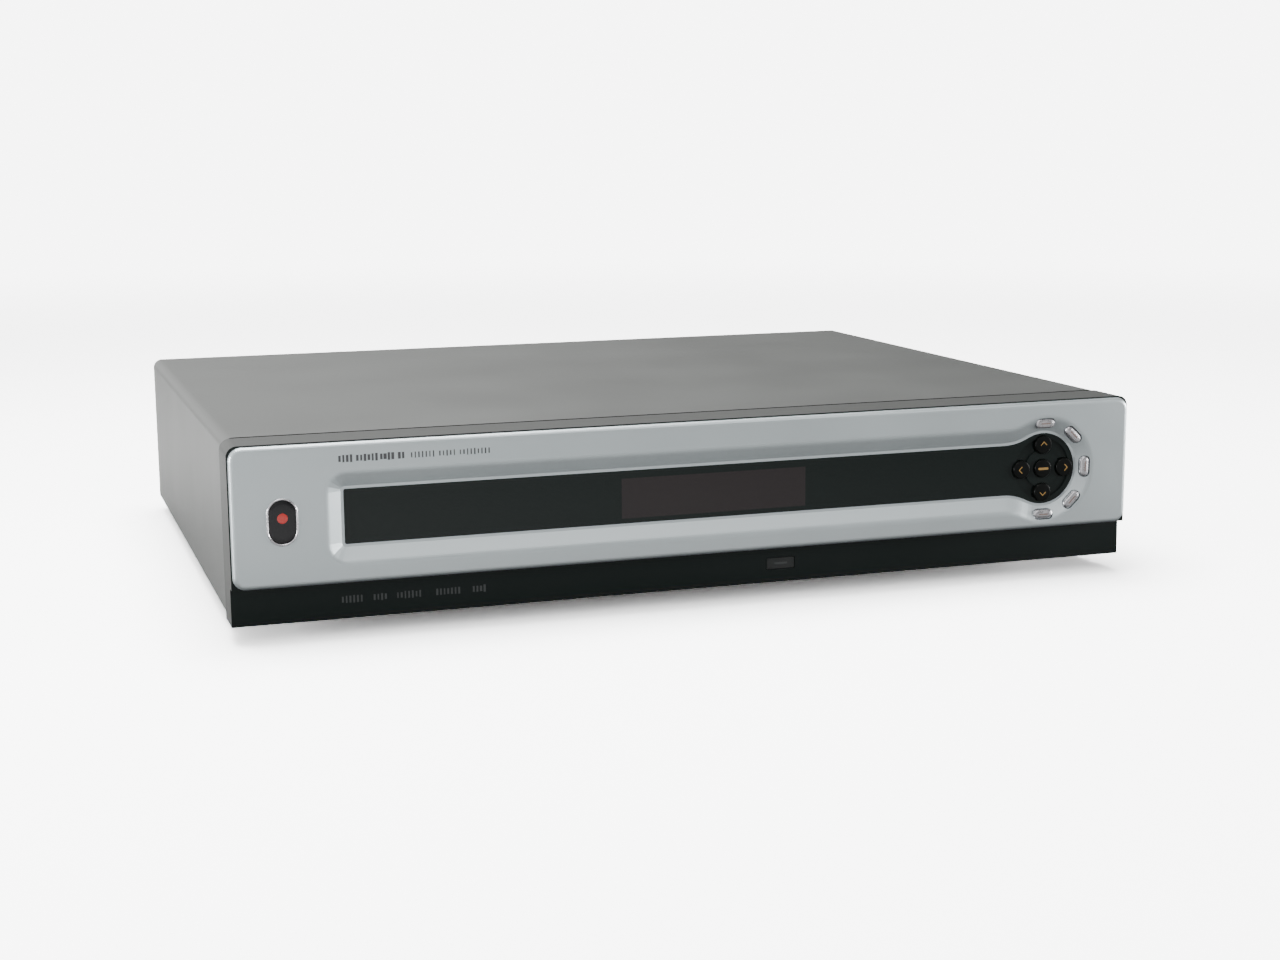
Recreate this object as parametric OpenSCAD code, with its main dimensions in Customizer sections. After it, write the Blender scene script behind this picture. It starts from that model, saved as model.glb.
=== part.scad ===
// A full-width digital video recorder: a steel case with a silver face plate, a long
// smoked window that widens into a ring of round keys, and a black plinth below.
// X runs along the front from left to right, Y from front to back, Z up.
// The origin is on the floor under the middle of the case. Millimetres.

/* [Case] */
// Width over the front bezel
case_w = 419; // [415:1:430]
// Depth from the front of the face plate to the back of the cover
case_d = 330; // [325:1:345]
// Height of the body without its feet
body_h = 76.5; // [76.5:0.5:80]
// Height of the rubber feet
foot_h = 8; // [6:0.5:12]
// Depth of the bezel in front of the cover's seam
bezel_d = 22.4; // [21:0.1:25]
// Thickness of the sheet steel
sheet_t = 1; // [0.8:0.1:1.2]
// Radius of the cover's upper edges
edge_r = 4.5; // [3:0.5:6]

/* [Face plate] */
// Thickness of the silver face plate
plate_t = 2.4; // [2.2:0.1:2.8]
// Height of the black plinth below the face plate
plinth_h = 16.6; // [15:0.1:17]
// How far the plinth is set back behind the bezel's front
plinth_back = 4.5; // [3:0.5:5]
// Width of the sloped wall around the window
slope_w = 7.8; // [6:0.1:8]
// Depth of the hollow that the window lies in
hollow_d = 3; // [2:0.1:3]
// Height of the window's straight part
window_h = 23.4; // [22:0.1:25]
// Radius of the window's round end
disc_r = 16.6; // [16.4:0.1:17]

/* [Keys] */
// Radius of a round key
round_r = 4.25; // [4:0.05:4.4]
// Distance from the middle key to each arrow key
round_pitch = 11.2; // [11:0.1:11.5]
// Radius of the ring that the long keys lie on
pill_ring = 21.4; // [21:0.1:22]
// Length of a long key
pill_l = 9.8; // [9:0.1:11.5]
// Width of a long key
pill_w = 4.5; // [4.2:0.1:5]
// How far a key travels when it is pressed
key_travel = 0.7; // [0.4:0.1:0.8]

/* [Back] */
// Length of the aerial sockets behind the cover
coax_l = 10; // [9:0.5:11]
// Side of the square cooling fan
fan_w = 60; // [60:1:60]

/* [Hidden] */
$fn = 64;

// Places along Y
badge_proud = 0.7;
y_front = badge_proud - (case_d + coax_l + 2 * badge_proud) / 2;
y_bezel = y_front + plate_t;
y_plinth = y_bezel + plinth_back;
y_seam = y_bezel + bezel_d;
y_lip = y_front + case_d;
y_panel = y_lip - sheet_t;
y_inside = y_panel - sheet_t;
y_tip = y_lip + coax_l + badge_proud;

// Heights
z_floor = foot_h;
z_base = z_floor + sheet_t;
z_plate = z_floor + plinth_h;
z_top = z_floor + body_h;
z_window = z_floor + 44.4;
z_board = z_base + 6;
board_t = 1.6;
z_parts = z_board + board_t;

// Bezel and cover
bezel_wall = 2.5;
cover_w = case_w - 3;
seam_gap = 2;
ledge_w = 1.5;
ledge_bite = 0.2;
base_w = cover_w - 2 * sheet_t - 0.4;
bezel_back = y_bezel + bezel_wall;
plinth_wall_back = y_plinth + bezel_wall;

// Face plate and window
plate_r = 5.5;
plate_inset = 0.5;
plate_edge = 2;
pan_t = 1.5;
window_x = -162;
window_corner = 0.8;
disc_x = 165.6;
fillet_r = 28;
border_w = 1.2;
pan_extra = 0.7;
slope_soft = 0.35;
y_border = y_front + hollow_d;
y_pan = y_border + pan_t;
window_gap = 0.15;
window_t = 1.5;
flange_w = 1.5;
y_window = y_pan + window_t;
groove_in = 8.8;
groove_out = 14.1;
groove_d = 0.8;

// Keys
key_gap = 0.2;
key_proud = 1.2;
key_flange_t = 1;
stem_r = 1.5;
y_switch = y_window + 7;
y_front_board = y_window + 12;
switch_free = 0.1;
pill_angles = [90, 46, 0, -46, -90];
pill_flange = 0.6;
pill_front = y_front + 0.3;
guide_front = y_window + 2.5;
guide_t = 1.5;
guide_screws = [
    [pill_ring * cos(23), pill_ring * sin(23)],
    [pill_ring * cos(23), -pill_ring * sin(23)],
    [-22, 17.2], [-22, -17.2]];
plinth_key_x = 35.8;
plinth_key_z = z_floor + 8.5;
plinth_key = [13.2, 4.9];
badge_x = -188;
badge_size = [13, 20];
badge_pocket = 0.5;

// Front board
front_board_x = [-62, 205];
front_board_z = [z_floor + 4, z_top - 4];
front_bosses = [for (x = [-56, 70, 199], z = [z_floor + 7.5, z_top - 7.5]) [x, z]];
display_x = [-50, 55];
display_h = 27;

// Feet
foot_r = 12;
foot_x = 165;
foot_y = [-108, 120];

// Back panel
socket_z = z_parts + 7;
fan_x = -95;
fan_z = z_floor + body_h / 2;
fan_d = 15;
fan_hub = 14;
fan_bore = fan_w / 2 - 1.6;
fan_hole = fan_w / 2 - 5;
screw_xs = [-190, -110, -40, 60, 120, 195];
lip_h = 10;
inlet_x = -180;
inlet_z = z_parts + 14;
inlet = [17, 8.6];
phone_x = -45;
network_x = -24;
usb_x = -3;
hdmi_x = 20;
jack_xs = [60, 76, 92];
jack_zs = [z_parts + 6, z_parts + 21, z_parts + 36];
jack_r = 4.15;
s_video_x = 111;
control_zs = [z_parts + 20.5, z_parts + 32.5];
coax_x = 129;
coax_zs = [z_parts + 10.5, z_parts + 31.5];
coax_r = 4.76;
card_x = 172;
card_zs = [z_floor + 50, z_floor + 62];
card_slot = [54.6, 5.2];
card_depth = 72;

// Drive
drive = [101.6, 147, 24.6];
drive_x = -195;
drive_y = -125;
drive_z = z_base + 13;
drive_lid_t = 1.5;
spindle = [drive_x + 50.8, drive_y + 95];
pivot = [spindle[0] + 22, spindle[1] - 53];
platter_r = 47.5;
platter_t = 1.3;
platter_zs = [drive_z + 11, drive_z + 16];
arm_l = 50;
arm_rest = 167.6;
run_gap = 0.05;

// ---------------------------------------------------------------- helpers

function arc(c, r, a0, a1, n) =
    [for (i = [0:n]) let (a = a0 + (a1 - a0) * i / n) c + r * [cos(a), sin(a)]];

// The window's outline, grown by d: two corners, two hollow curves and the round end
join_a = asin((window_h / 2 + fillet_r) / (disc_r + fillet_r));
fillet_x = disc_x - (disc_r + fillet_r) * cos(join_a);
disc_step = (360 - 2 * join_a) / 44;
function window_path(d) = concat(
    arc([window_x + window_corner, window_corner - window_h / 2], window_corner + d, 180, 270, 5),
    arc([fillet_x, -window_h / 2 - fillet_r], fillet_r - d, 90, join_a, 7),
    arc([disc_x, 0], disc_r + d, join_a - 180 + disc_step, 180 - join_a - disc_step, 42),
    arc([fillet_x, window_h / 2 + fillet_r], fillet_r - d, -join_a, -90, 7),
    arc([window_x + window_corner, window_h / 2 - window_corner], window_corner + d, 90, 180, 5));

function round_path(w, h, r, n) = concat(
    arc([r - w / 2, r - h / 2], r, 180, 270, n), arc([w / 2 - r, r - h / 2], r, 270, 360, n),
    arc([w / 2 - r, h / 2 - r], r, 0, 90, n), arc([r - w / 2, h / 2 - r], r, 90, 180, n));

// A long rounded outline with half-round ends
function pill_path(l, w, n) = concat(
    arc([(w - l) / 2, 0], w / 2, 90, 270, n), arc([(l - w) / 2, 0], w / 2, 270, 450, n));

// A 2D path stood up in the XZ plane at y, around the height z
function standing(path, y, z) = [for (p = path) [p[0], y, z + p[1]]];

// A closed solid through rings of points that run from front to back
module skin(rings) {
    n = len(rings[0]);
    m = len(rings);
    walls = [for (j = [0:m - 2], i = [0:n - 1])
        let (a = j * n + i, b = j * n + (i + 1) % n) each [[a, b, b + n], [a, b + n, a + n]]];
    polyhedron([for (r = rings) each r],
        concat([[for (i = [n - 1:-1:0]) i]], walls, [[for (i = [0:n - 1]) (m - 1) * n + i]]));
}

module along_y(y0, y1) {
    translate([0, y1, 0]) rotate([90, 0, 0]) linear_extrude(y1 - y0) children();
}

module slab(x0, x1, y0, y1, z0, z1) {
    translate([x0, y0, z0]) cube([x1 - x0, y1 - y0, z1 - z0]);
}

// A box that stands at z, centred on x and on y
module block(x, y, z, w, d, h) {
    translate([x - w / 2, y - d / 2, z]) cube([w, d, h]);
}

// A round bar along Y
module rod_y(x, z, r, y0, y1) {
    translate([x, y0, z]) rotate([-90, 0, 0]) cylinder(r = r, h = y1 - y0);
}

// A round bar along Z
module rod_z(x, y, r, z0, z1) {
    translate([x, y, z0]) cylinder(r = r, h = z1 - z0);
}

module pill2d(l, w) {
    square([l - w, w], center = true);
    for (s = [-1, 1]) translate([s * (l - w) / 2, 0]) circle(r = w / 2);
}

module rounded2d(w, h, r) {
    square([w - 2 * r, h], center = true);
    square([w, h - 2 * r], center = true);
    for (x = [-1, 1], y = [-1, 1]) translate([x * (w / 2 - r), y * (h / 2 - r)]) circle(r = r);
}

// A wall with round upper corners, standing on z0
module arch2d(w, z0, z1, r) {
    translate([-w / 2, z0]) square([w, z1 - r - z0]);
    translate([r - w / 2, z0]) square([w - 2 * r, z1 - z0]);
    for (s = [-1, 1]) translate([s * (w / 2 - r), z1 - r]) circle(r = r);
}

// A pan-head screw along Y, with its head from y outwards and its shank inwards
module screw_y(x, z, y, shank_r, shank_l, head_r, head_h, dir) {
    rod_y(x, z, shank_r, min(y, y + dir * shank_l), max(y, y + dir * shank_l));
    difference() {
        rod_y(x, z, head_r, min(y, y - dir * head_h), max(y, y - dir * head_h));
        for (a = [0, 90]) translate([x, y - dir * head_h, z]) rotate([0, a, 0])
            cube([head_r, head_h, head_r / 4], center = true);
    }
}

// A pan-head screw along Z, head downwards where dir is 1
module screw_z(x, y, z, shank_r, shank_l, head_r, head_h, dir) {
    rod_z(x, y, shank_r, min(z, z + dir * shank_l), max(z, z + dir * shank_l));
    difference() {
        rod_z(x, y, head_r, min(z, z - dir * head_h), max(z, z - dir * head_h));
        for (a = [0, 90]) translate([x, y, z - dir * head_h]) rotate([0, 0, a])
            cube([head_r, head_r / 4, head_h], center = true);
    }
}

// ---------------------------------------------------------------- front

module bezel_outline(inset) {
    w = case_w - 2 * inset;
    arch2d(w, z_floor + inset, z_top - inset, edge_r - min(inset, 2));
}

// The lower step at the bezel's back, which closes the joint before the cover starts
module seam_ledge() {
    w = cover_w - 2 * sheet_t + 2 * ledge_bite;
    along_y(y_seam - ledge_w, y_seam + seam_gap - 0.1) difference() {
        arch2d(w, z_floor + sheet_t, z_top - sheet_t, edge_r - sheet_t);
        arch2d(w - 2 * ledge_w, z_floor + bezel_wall + ledge_bite,
            z_top - bezel_wall - ledge_bite, edge_r - sheet_t - ledge_w);
    }
}

module front_bezel() color([0.11, 0.12, 0.12]) difference() {
    union() {
        difference() {
            union() {
                along_y(y_bezel, y_seam) intersection() {
                    bezel_outline(0);
                    translate([-case_w, z_plate]) square([2 * case_w, body_h]);
                }
                along_y(y_plinth, y_seam) bezel_outline(0);
            }
            along_y(plinth_wall_back, y_seam + 1) bezel_outline(bezel_wall);
            along_y(bezel_back, plinth_wall_back + 1) intersection() {
                bezel_outline(bezel_wall);
                translate([-case_w, z_plate + bezel_wall]) square([2 * case_w, body_h]);
            }
            translate([0, 0, z_window]) along_y(y_bezel - 1, bezel_back + 1)
                polygon(window_path(border_w + slope_w + pan_extra + 0.3));
            translate([plinth_key_x, 0, plinth_key_z]) along_y(y_plinth - 1, plinth_wall_back + 1)
                rounded2d(plinth_key[0] + 0.5, plinth_key[1] + 0.5, 0.8);
        }
        seam_ledge();
        for (b = front_bosses)
            rod_y(b[0], b[1], 3, (b[1] < z_plate ? plinth_wall_back : bezel_back) - 0.5, y_front_board);
    }
    for (b = front_bosses) rod_y(b[0], b[1], 1.1, y_front_board - 6, y_front_board + 1);
}

// How deep the hollow's wall lies where a share t of its width has passed: soft, then straight
function slope_depth(t) = hollow_d
    * (t < slope_soft ? t * t / slope_soft : 2 * t - slope_soft) / (2 - slope_soft);

// The sloped hollow, its flat border and the opening for the window
module hollow_cutter() {
    steps = [0, 0.09, 0.18, 0.27, slope_soft, 1];
    skin(concat(
        [standing(window_path(border_w + slope_w), y_front - 1, z_window)],
        [for (t = steps) standing(window_path(border_w + slope_w * (1 - t)),
            y_front + slope_depth(t), z_window)],
        [for (y = [y_border, y_pan + 1]) standing(window_path(0), y, z_window)]));
}

module pill_place(a) {
    translate([disc_x + pill_ring * cos(a), 0, z_window + pill_ring * sin(a)])
        rotate([0, 90 - a, 0]) children();
}

module face_plate() color([0.78, 0.8, 0.81]) difference() {
    plate_w = case_w - 2 * plate_inset;
    plate_h = z_top - plate_inset - z_plate;
    union() {
        skin(concat(
            [for (a = [0:18:90]) let (d = plate_edge * (1 - sin(a)))
                standing(round_path(plate_w - 2 * d, plate_h - 2 * d, plate_r - d, 7),
                    y_front + plate_edge * (1 - cos(a)), z_plate + plate_h / 2)],
            [standing(round_path(plate_w, plate_h, plate_r, 7), y_bezel, z_plate + plate_h / 2)]));
        translate([0, 0, z_window]) along_y(y_bezel - 0.5, y_pan)
            polygon(window_path(border_w + slope_w + pan_extra));
    }
    hollow_cutter();
    for (a = pill_angles) pill_place(a) skin([for (y = [y_front - 1, y_pan + 2])
        standing(pill_path(pill_l + 2 * key_gap, pill_w + 2 * key_gap, 12), y, 0)]);
    translate([badge_x, y_front + badge_pocket, z_window]) rotate([90, 0, 0])
        linear_extrude(2) pill_upright(badge_size);
}

module pill_upright(size) {
    rotate(90) pill2d(size[1], size[0]);
}

module badge() color([0.16, 0.16, 0.17]) {
    translate([badge_x, y_front + badge_pocket, z_window]) rotate([90, 0, 0])
        linear_extrude(badge_pocket + badge_proud) pill_upright(badge_size);
}

module display_window() color([0.09, 0.09, 0.1]) difference() {
    translate([0, 0, z_window]) union() {
        along_y(y_border + 0.1, y_pan) polygon(window_path(-window_gap));
        along_y(y_pan, y_window) polygon(window_path(flange_w));
    }
    translate([disc_x, y_border + 0.1, z_window]) rotate([-90, 0, 0]) rotate_extrude()
        translate([groove_in, -1]) square([groove_out - groove_in, groove_d + 1]);
    for (p = round_places()) rod_y(p[0], p[1], round_r + key_gap, y_border - 1, y_window + 1);
}

function round_places() = [for (d = [[0, 1], [0, -1], [-1, 0], [1, 0], [0, 0]])
    [disc_x + round_pitch * d[0], z_window + round_pitch * d[1]]];

// A round cap with a soft rim, a flange that holds it behind the window, and its stem
module round_key(i) color([0.05, 0.05, 0.06]) {
    p = round_places()[i];
    travel = key_travel + 0.1;
    top = 0.5;
    cap = y_window - y_border + key_proud;
    stem = y_switch - travel - switch_free - y_window;
    translate([p[0], y_window, p[1]]) rotate([-90, 0, 0]) rotate_extrude() polygon(concat(
        [[0, -cap - 0.15]], arc([round_r - top, top - cap], top, -90, 0, 4),
        [[round_r, 0.1], [round_r + 0.6, 0.1], [round_r + 0.6, 0.1 + key_flange_t],
            [stem_r, 0.1 + key_flange_t], [stem_r, stem], [0, stem]]));
}

// A long cap with a domed top, a flange behind the face plate, and its stem
module pill_key(i) color([0.8, 0.8, 0.82]) pill_place(pill_angles[i]) {
    stem_end = y_switch - key_travel - switch_free;
    rim = [[1.5, 0], [0.7, 0.15], [0.2, 0.5], [0, 1], [0, y_pan + 0.5 - pill_front]];
    skin([for (s = rim)
        standing(pill_path(pill_l - 2 * s[0], pill_w - 2 * s[0], 12), pill_front + s[1], 0)]);
    along_y(y_pan + 0.1, y_pan + 0.1 + key_flange_t)
        pill2d(pill_l + 2 * pill_flange, pill_w + 2 * pill_flange);
    rod_y(0, 0, stem_r, y_pan + 0.1 + key_flange_t, stem_end);
}

module plinth_button() color([0.08, 0.08, 0.09]) {
    front = y_plinth + 0.2;
    back = plinth_wall_back + 0.1;
    translate([plinth_key_x, 0, plinth_key_z]) {
        along_y(front, back) rounded2d(plinth_key[0], plinth_key[1], 0.6);
        along_y(back, back + key_flange_t) square(plinth_key + [2, 2], center = true);
        rod_y(0, 0, stem_r, back + key_flange_t, y_switch - key_travel - switch_free);
    }
}

// The plate behind the window that keeps the stems straight, on four short posts
module key_guide() color([0.13, 0.13, 0.14]) difference() {
    union() {
        translate([disc_x, 0, z_window]) along_y(guide_front, guide_front + guide_t) union() {
            circle(r = pill_ring + 3.5);
            translate([-26, -21]) square([26, 42]);
        }
        for (g = guide_screws) rod_y(disc_x + g[0], z_window + g[1], 2, y_pan, guide_front + 1);
    }
    for (p = round_places()) rod_y(p[0], p[1], stem_r + key_gap, guide_front - 1, guide_front + 3);
    for (a = pill_angles) pill_place(a) rod_y(0, 0, stem_r + key_gap, guide_front - 1, guide_front + 3);
    for (g = guide_screws) rod_y(disc_x + g[0], z_window + g[1], 1, y_pan - 1, guide_front + 3);
}

module display_module() color([0.2, 0.16, 0.15]) {
    h = display_h;
    glass_y = y_window + 0.4;
    slab(display_x[0], display_x[1], glass_y, glass_y + 2, z_window - h / 2, z_window + h / 2);
    difference() {
        slab(display_x[0] + 2, display_x[1] - 2, glass_y + 2, y_front_board,
            z_window - h / 2 + 1, z_window + h / 2 - 1);
        slab(display_x[0] + 4, display_x[1] - 4, glass_y + 4, y_front_board + 1,
            z_window - h / 2 + 3, z_window + h / 2 - 3);
    }
}

module front_board() color([0.1, 0.32, 0.16]) difference() {
    slab(front_board_x[0], front_board_x[1], y_front_board, y_front_board + board_t,
        front_board_z[0], front_board_z[1]);
    for (b = front_bosses) rod_y(b[0], b[1], 1.5, y_front_board - 1, y_front_board + 3);
}

module key_switch(x, z) {
    along_y(y_switch + 1.5, y_front_board) translate([x, z]) square(6, center = true);
    rod_y(x, z, 1.7, y_switch, y_switch + 1.5);
}

module key_switches() color([0.15, 0.15, 0.15]) {
    for (p = round_places()) key_switch(p[0], p[1]);
    for (a = pill_angles) key_switch(disc_x + pill_ring * cos(a), z_window + pill_ring * sin(a));
    key_switch(plinth_key_x, plinth_key_z);
}

// ---------------------------------------------------------------- case

module top_cover() color([0.45, 0.45, 0.44]) difference() {
    union() {
        along_y(y_seam + seam_gap, y_lip) difference() {
            arch2d(cover_w, z_floor, z_top, edge_r);
            arch2d(cover_w - 2 * sheet_t, z_floor - 1, z_top - sheet_t, edge_r - sheet_t);
        }
        along_y(y_panel, y_lip) intersection() {
            arch2d(cover_w, z_floor, z_top, edge_r);
            translate([-case_w, z_top - lip_h]) square([2 * case_w, lip_h]);
        }
    }
    for (x = screw_xs) rod_y(x, z_top - lip_h / 2, 1.6, y_panel - 1, y_lip + 1);
}

standoffs = [
    [-50, -30], [70, -30], [190, -30], [-50, 110], [60, 110], [190, 70],
    [-195, 40], [-137, 40], [-195, 140], [-137, 115]];

module chassis_base() color([0.68, 0.69, 0.7]) difference() {
    front = y_seam + seam_gap;
    union() {
        slab(-base_w / 2, base_w / 2, front, y_inside, z_floor, z_base);
        for (s = [-1, 1]) slab(min(s * base_w / 2, s * (base_w / 2 - sheet_t)),
            max(s * base_w / 2, s * (base_w / 2 - sheet_t)), front, y_inside, z_floor, z_base + 12);
        slab(-base_w / 2, base_w / 2, front, front + sheet_t, z_floor, z_top - 6);
        slab(-base_w / 2, base_w / 2, y_inside - sheet_t, y_inside, z_floor, z_base + 4);
        for (s = standoffs) rod_z(s[0], s[1], 3, z_floor, z_board);
    }
    for (s = standoffs) rod_z(s[0], s[1], 1.4, z_base + 1, z_board + 1);
    for (x = [-1, 1], y = foot_y) rod_z(x * foot_x, y, 2, z_floor - 1, z_base + 1);
    for (x = screw_xs) rod_y(x, z_floor + 3.2, 1.5, y_inside - 3, y_inside + 1);
    slab(88, 138, front - 1, front + 3, z_floor + 16, z_floor + 50);
    slab(-60, 20, front - 1, front + 3, z_floor + 20, z_floor + 55);
    for (x = [-40:12:56], y = [-100, -60]) translate([x, y, z_floor - 1])
        linear_extrude(4) rotate(90) pill2d(30, 4);
    for (x = [90:12:150], y = [-100, -60]) translate([x, y, z_floor - 1])
        linear_extrude(4) rotate(90) pill2d(30, 4);
}

module fan_grille2d() {
    step = 5;
    reach = fan_bore - 2;
    for (x = [-reach + 3:step:reach - 3]) {
        l = sqrt(reach * reach - x * x);
        for (s = [-1, 1]) translate([x, s * (l / 2 + 1)]) rotate(90) pill2d(l - 2, 3);
    }
}

module rear_panel() color([0.72, 0.73, 0.74]) difference() {
    along_y(y_inside, y_panel)
        arch2d(base_w, z_floor + 0.2, z_top - sheet_t - 0.2, edge_r - sheet_t);
    for (x = screw_xs, z = [z_floor + 3.2, z_top - lip_h / 2]) rod_y(x, z, 1.5, y_inside - 1, y_panel + 1);
    translate([fan_x, 0, fan_z]) along_y(y_inside - 1, y_panel + 1) fan_grille2d();
    for (x = [-1, 1], z = [-1, 1])
        rod_y(fan_x + x * fan_hole, fan_z + z * fan_hole, 2.2, y_inside - 1, y_panel + 1);
    // Sockets
    translate([inlet_x, 0, inlet_z]) along_y(y_inside - 1, y_panel + 1)
        square([inlet[0] + 5.4, inlet[1] + 5.4], center = true);
    slab(phone_x - 6.8, phone_x + 6.8, y_inside - 1, y_panel + 1, z_parts - 0.2, z_parts + 13.2);
    slab(network_x - 8.2, network_x + 8.2, y_inside - 1, y_panel + 1, z_parts - 0.2, z_parts + 14.2);
    slab(usb_x - 7.5, usb_x + 7.5, y_inside - 1, y_panel + 1, z_parts - 0.2, z_parts + 16.2);
    slab(hdmi_x - 8.2, hdmi_x + 8.2, y_inside - 1, y_panel + 1, z_parts + 0.8, z_parts + 8.2);
    for (x = jack_xs, z = jack_zs) rod_y(x, z, 5.2, y_inside - 1, y_panel + 1);
    rod_y(s_video_x, z_parts + 8, 6.2, y_inside - 1, y_panel + 1);
    for (z = control_zs) rod_y(s_video_x, z, 4.2, y_inside - 1, y_panel + 1);
    for (z = coax_zs) rod_y(coax_x, z, coax_r + 0.2, y_inside - 1, y_panel + 1);
    for (z = card_zs) translate([card_x, 0, z]) along_y(y_inside - 1, y_panel + 1)
        square(card_slot + [0.6, 0.6], center = true);
    // Vent slots
    for (x = [-50:7:34]) translate([x, 0, z_top - 24]) along_y(y_inside - 1, y_panel + 1)
        rotate(90) pill2d(18, 3);
    for (x = [148:7:197]) translate([x, 0, z_floor + 24]) along_y(y_inside - 1, y_panel + 1)
        rotate(90) pill2d(22, 3);
}

module feet() color([0.1, 0.1, 0.1]) {
    for (x = [-1, 1], y = foot_y) translate([x * foot_x, y, 0]) rotate_extrude()
        polygon([[6, 0], [foot_r - 1.5, 0], [foot_r - 0.7, 0.8], [foot_r, z_floor],
            [2, z_floor], [2, z_floor / 2], [6, z_floor / 2]]);
}

module foot_screws() color([0.62, 0.62, 0.63]) {
    for (x = [-1, 1], y = foot_y)
        screw_z(x * foot_x, y, z_floor / 2, 2, z_floor / 2 + 4, 3.8, 2, 1);
}

module rear_screws() color([0.6, 0.6, 0.61]) {
    for (x = screw_xs) {
        screw_y(x, z_top - lip_h / 2, y_lip, 1.5, 6, 3, 1.8, -1);
        screw_y(x, z_floor + 3.2, y_panel, 1.5, 6, 3, 1.8, -1);
    }
    for (x = [-1, 1], z = [-1, 1])
        screw_y(fan_x + x * fan_hole, fan_z + z * fan_hole, y_panel, 2.1, 10, 3.1, 2, -1);
}

module inner_screws() color([0.7, 0.66, 0.5]) {
    for (g = guide_screws)
        screw_y(disc_x + g[0], z_window + g[1], guide_front + guide_t, 0.95, guide_t + 3.9, 2, 1.2, -1);
    for (b = front_bosses) screw_y(b[0], b[1], y_front_board + board_t, 1.1, board_t + 5, 2.6, 1.6, -1);
    for (s = standoffs) screw_z(s[0], s[1], z_parts, 1.4, board_t + 4, 2.8, 1.8, -1);
    for (s = [-1, 1], y = [drive_y + 30, drive_y + 115])
        translate([spindle[0] + s * (drive[0] / 2 + sheet_t), y, drive_z + 6.5])
            rotate([0, s * 90, 0]) screw_z(0, 0, 0, 1.6, 4, 3, 1.6, -1);
}

// ---------------------------------------------------------------- main board

module main_board() color([0.09, 0.36, 0.18]) difference() {
    slab(-58, 202, -38, y_inside - 2, z_board, z_parts);
    for (s = standoffs) rod_z(s[0], s[1], 1.7, z_board - 1, z_parts + 1);
}

module main_chips() color([0.12, 0.12, 0.13]) {
    block(20, 50, z_parts, 35, 35, 2.4);
    for (x = [-25, 55], y = [38, 60]) block(x, y, z_parts, 12, 10, 1.1);
    for (x = [95, 125, 155]) block(x, 20, z_parts, 20, 20, 1.8);
    block(-30, 0, z_parts, 14, 20, 1.2);
    for (x = [0:24:72]) block(x, -18, z_parts, 10, 10, 1.4);
}

module heat_sink() color([0.62, 0.64, 0.66]) {
    z = z_parts + 2.4;
    block(20, 50, z, 44, 44, 3);
    for (i = [-5:5]) block(20 + 4 * i, 50, z + 3, 1.2, 44, 18);
}

module capacitor(x, y, r, h) {
    rod_z(x, y, r, z_parts, z_parts + h);
}

module capacitors() color([0.12, 0.14, 0.3]) {
    for (x = [-45:14:-3], y = [90, 104]) capacitor(x, y, 4, 11);
    for (x = [80:14:122]) capacitor(x, 50, 3.2, 8);
    for (y = [-22, 0, 22]) capacitor(140, y - 5, 5, 16);
    for (x = [-185, -160]) capacitor(x, 58, 11, 30);
    for (p = [[-143, 72], [-155, 77], [-170, 73], [-197, 74]]) capacitor(p[0], p[1], 5, 20);
}

module tuner_cans() color([0.75, 0.76, 0.77]) {
    for (z = coax_zs)
        slab(coax_x - 8, coax_x + 8, y_inside - 62, y_inside - 0.5, z - 10.4, z + 10.4);
}

module coax_sockets() color([0.82, 0.8, 0.74]) {
    for (z = coax_zs) difference() {
        union() {
            rod_y(coax_x, z, coax_r, y_inside - 0.5, y_tip);
            translate([coax_x, y_panel, z]) rotate([-90, 30, 0])
                cylinder(r = 6.6, h = 2.4, $fn = 6);
        }
        rod_y(coax_x, z, 1, y_tip - 8, y_tip + 1);
    }
}

module card_cage() color([0.7, 0.71, 0.72]) difference() {
    z_mid = (card_zs[0] + card_zs[1]) / 2;
    translate([card_x, 0, z_mid]) along_y(y_inside - card_depth - 3, y_inside)
        square([card_slot[0] + 3, card_zs[1] - card_zs[0] + card_slot[1] + 3], center = true);
    for (z = card_zs) translate([card_x, 0, z]) along_y(y_inside - card_depth, y_inside + 1)
        square(card_slot, center = true);
}

module hdmi_socket() color([0.78, 0.78, 0.77]) {
    translate([hdmi_x, 0, z_parts + 4.5]) {
        difference() {
            along_y(y_inside - 10, y_panel + 0.6) rounded2d(15.2, 6, 0.8);
            along_y(y_inside - 8, y_panel + 2)
                polygon([[-7, 2.2], [7, 2.2], [7, 0], [4.8, -2.3], [-4.8, -2.3], [-7, 0]]);
        }
        slab(-5.6, 5.6, y_inside - 8.1, y_panel - 1, -0.4, 0.8);
    }
    block(hdmi_x, y_inside - 6, z_parts, 12, 6, 1.5);
}

module usb_sockets() color([0.76, 0.76, 0.75]) {
    for (i = [0, 1]) translate([usb_x, 0, z_parts + 4 + 8 * i]) {
        difference() {
            along_y(y_inside - 14, y_panel + 0.6) rounded2d(14.4, 8, 0.5);
            along_y(y_inside - 10, y_panel + 2) square([12.5, 5.1], center = true);
        }
        slab(-5.5, 5.5, y_inside - 10.1, y_panel - 0.6, 0.2, 2);
    }
}

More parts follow.
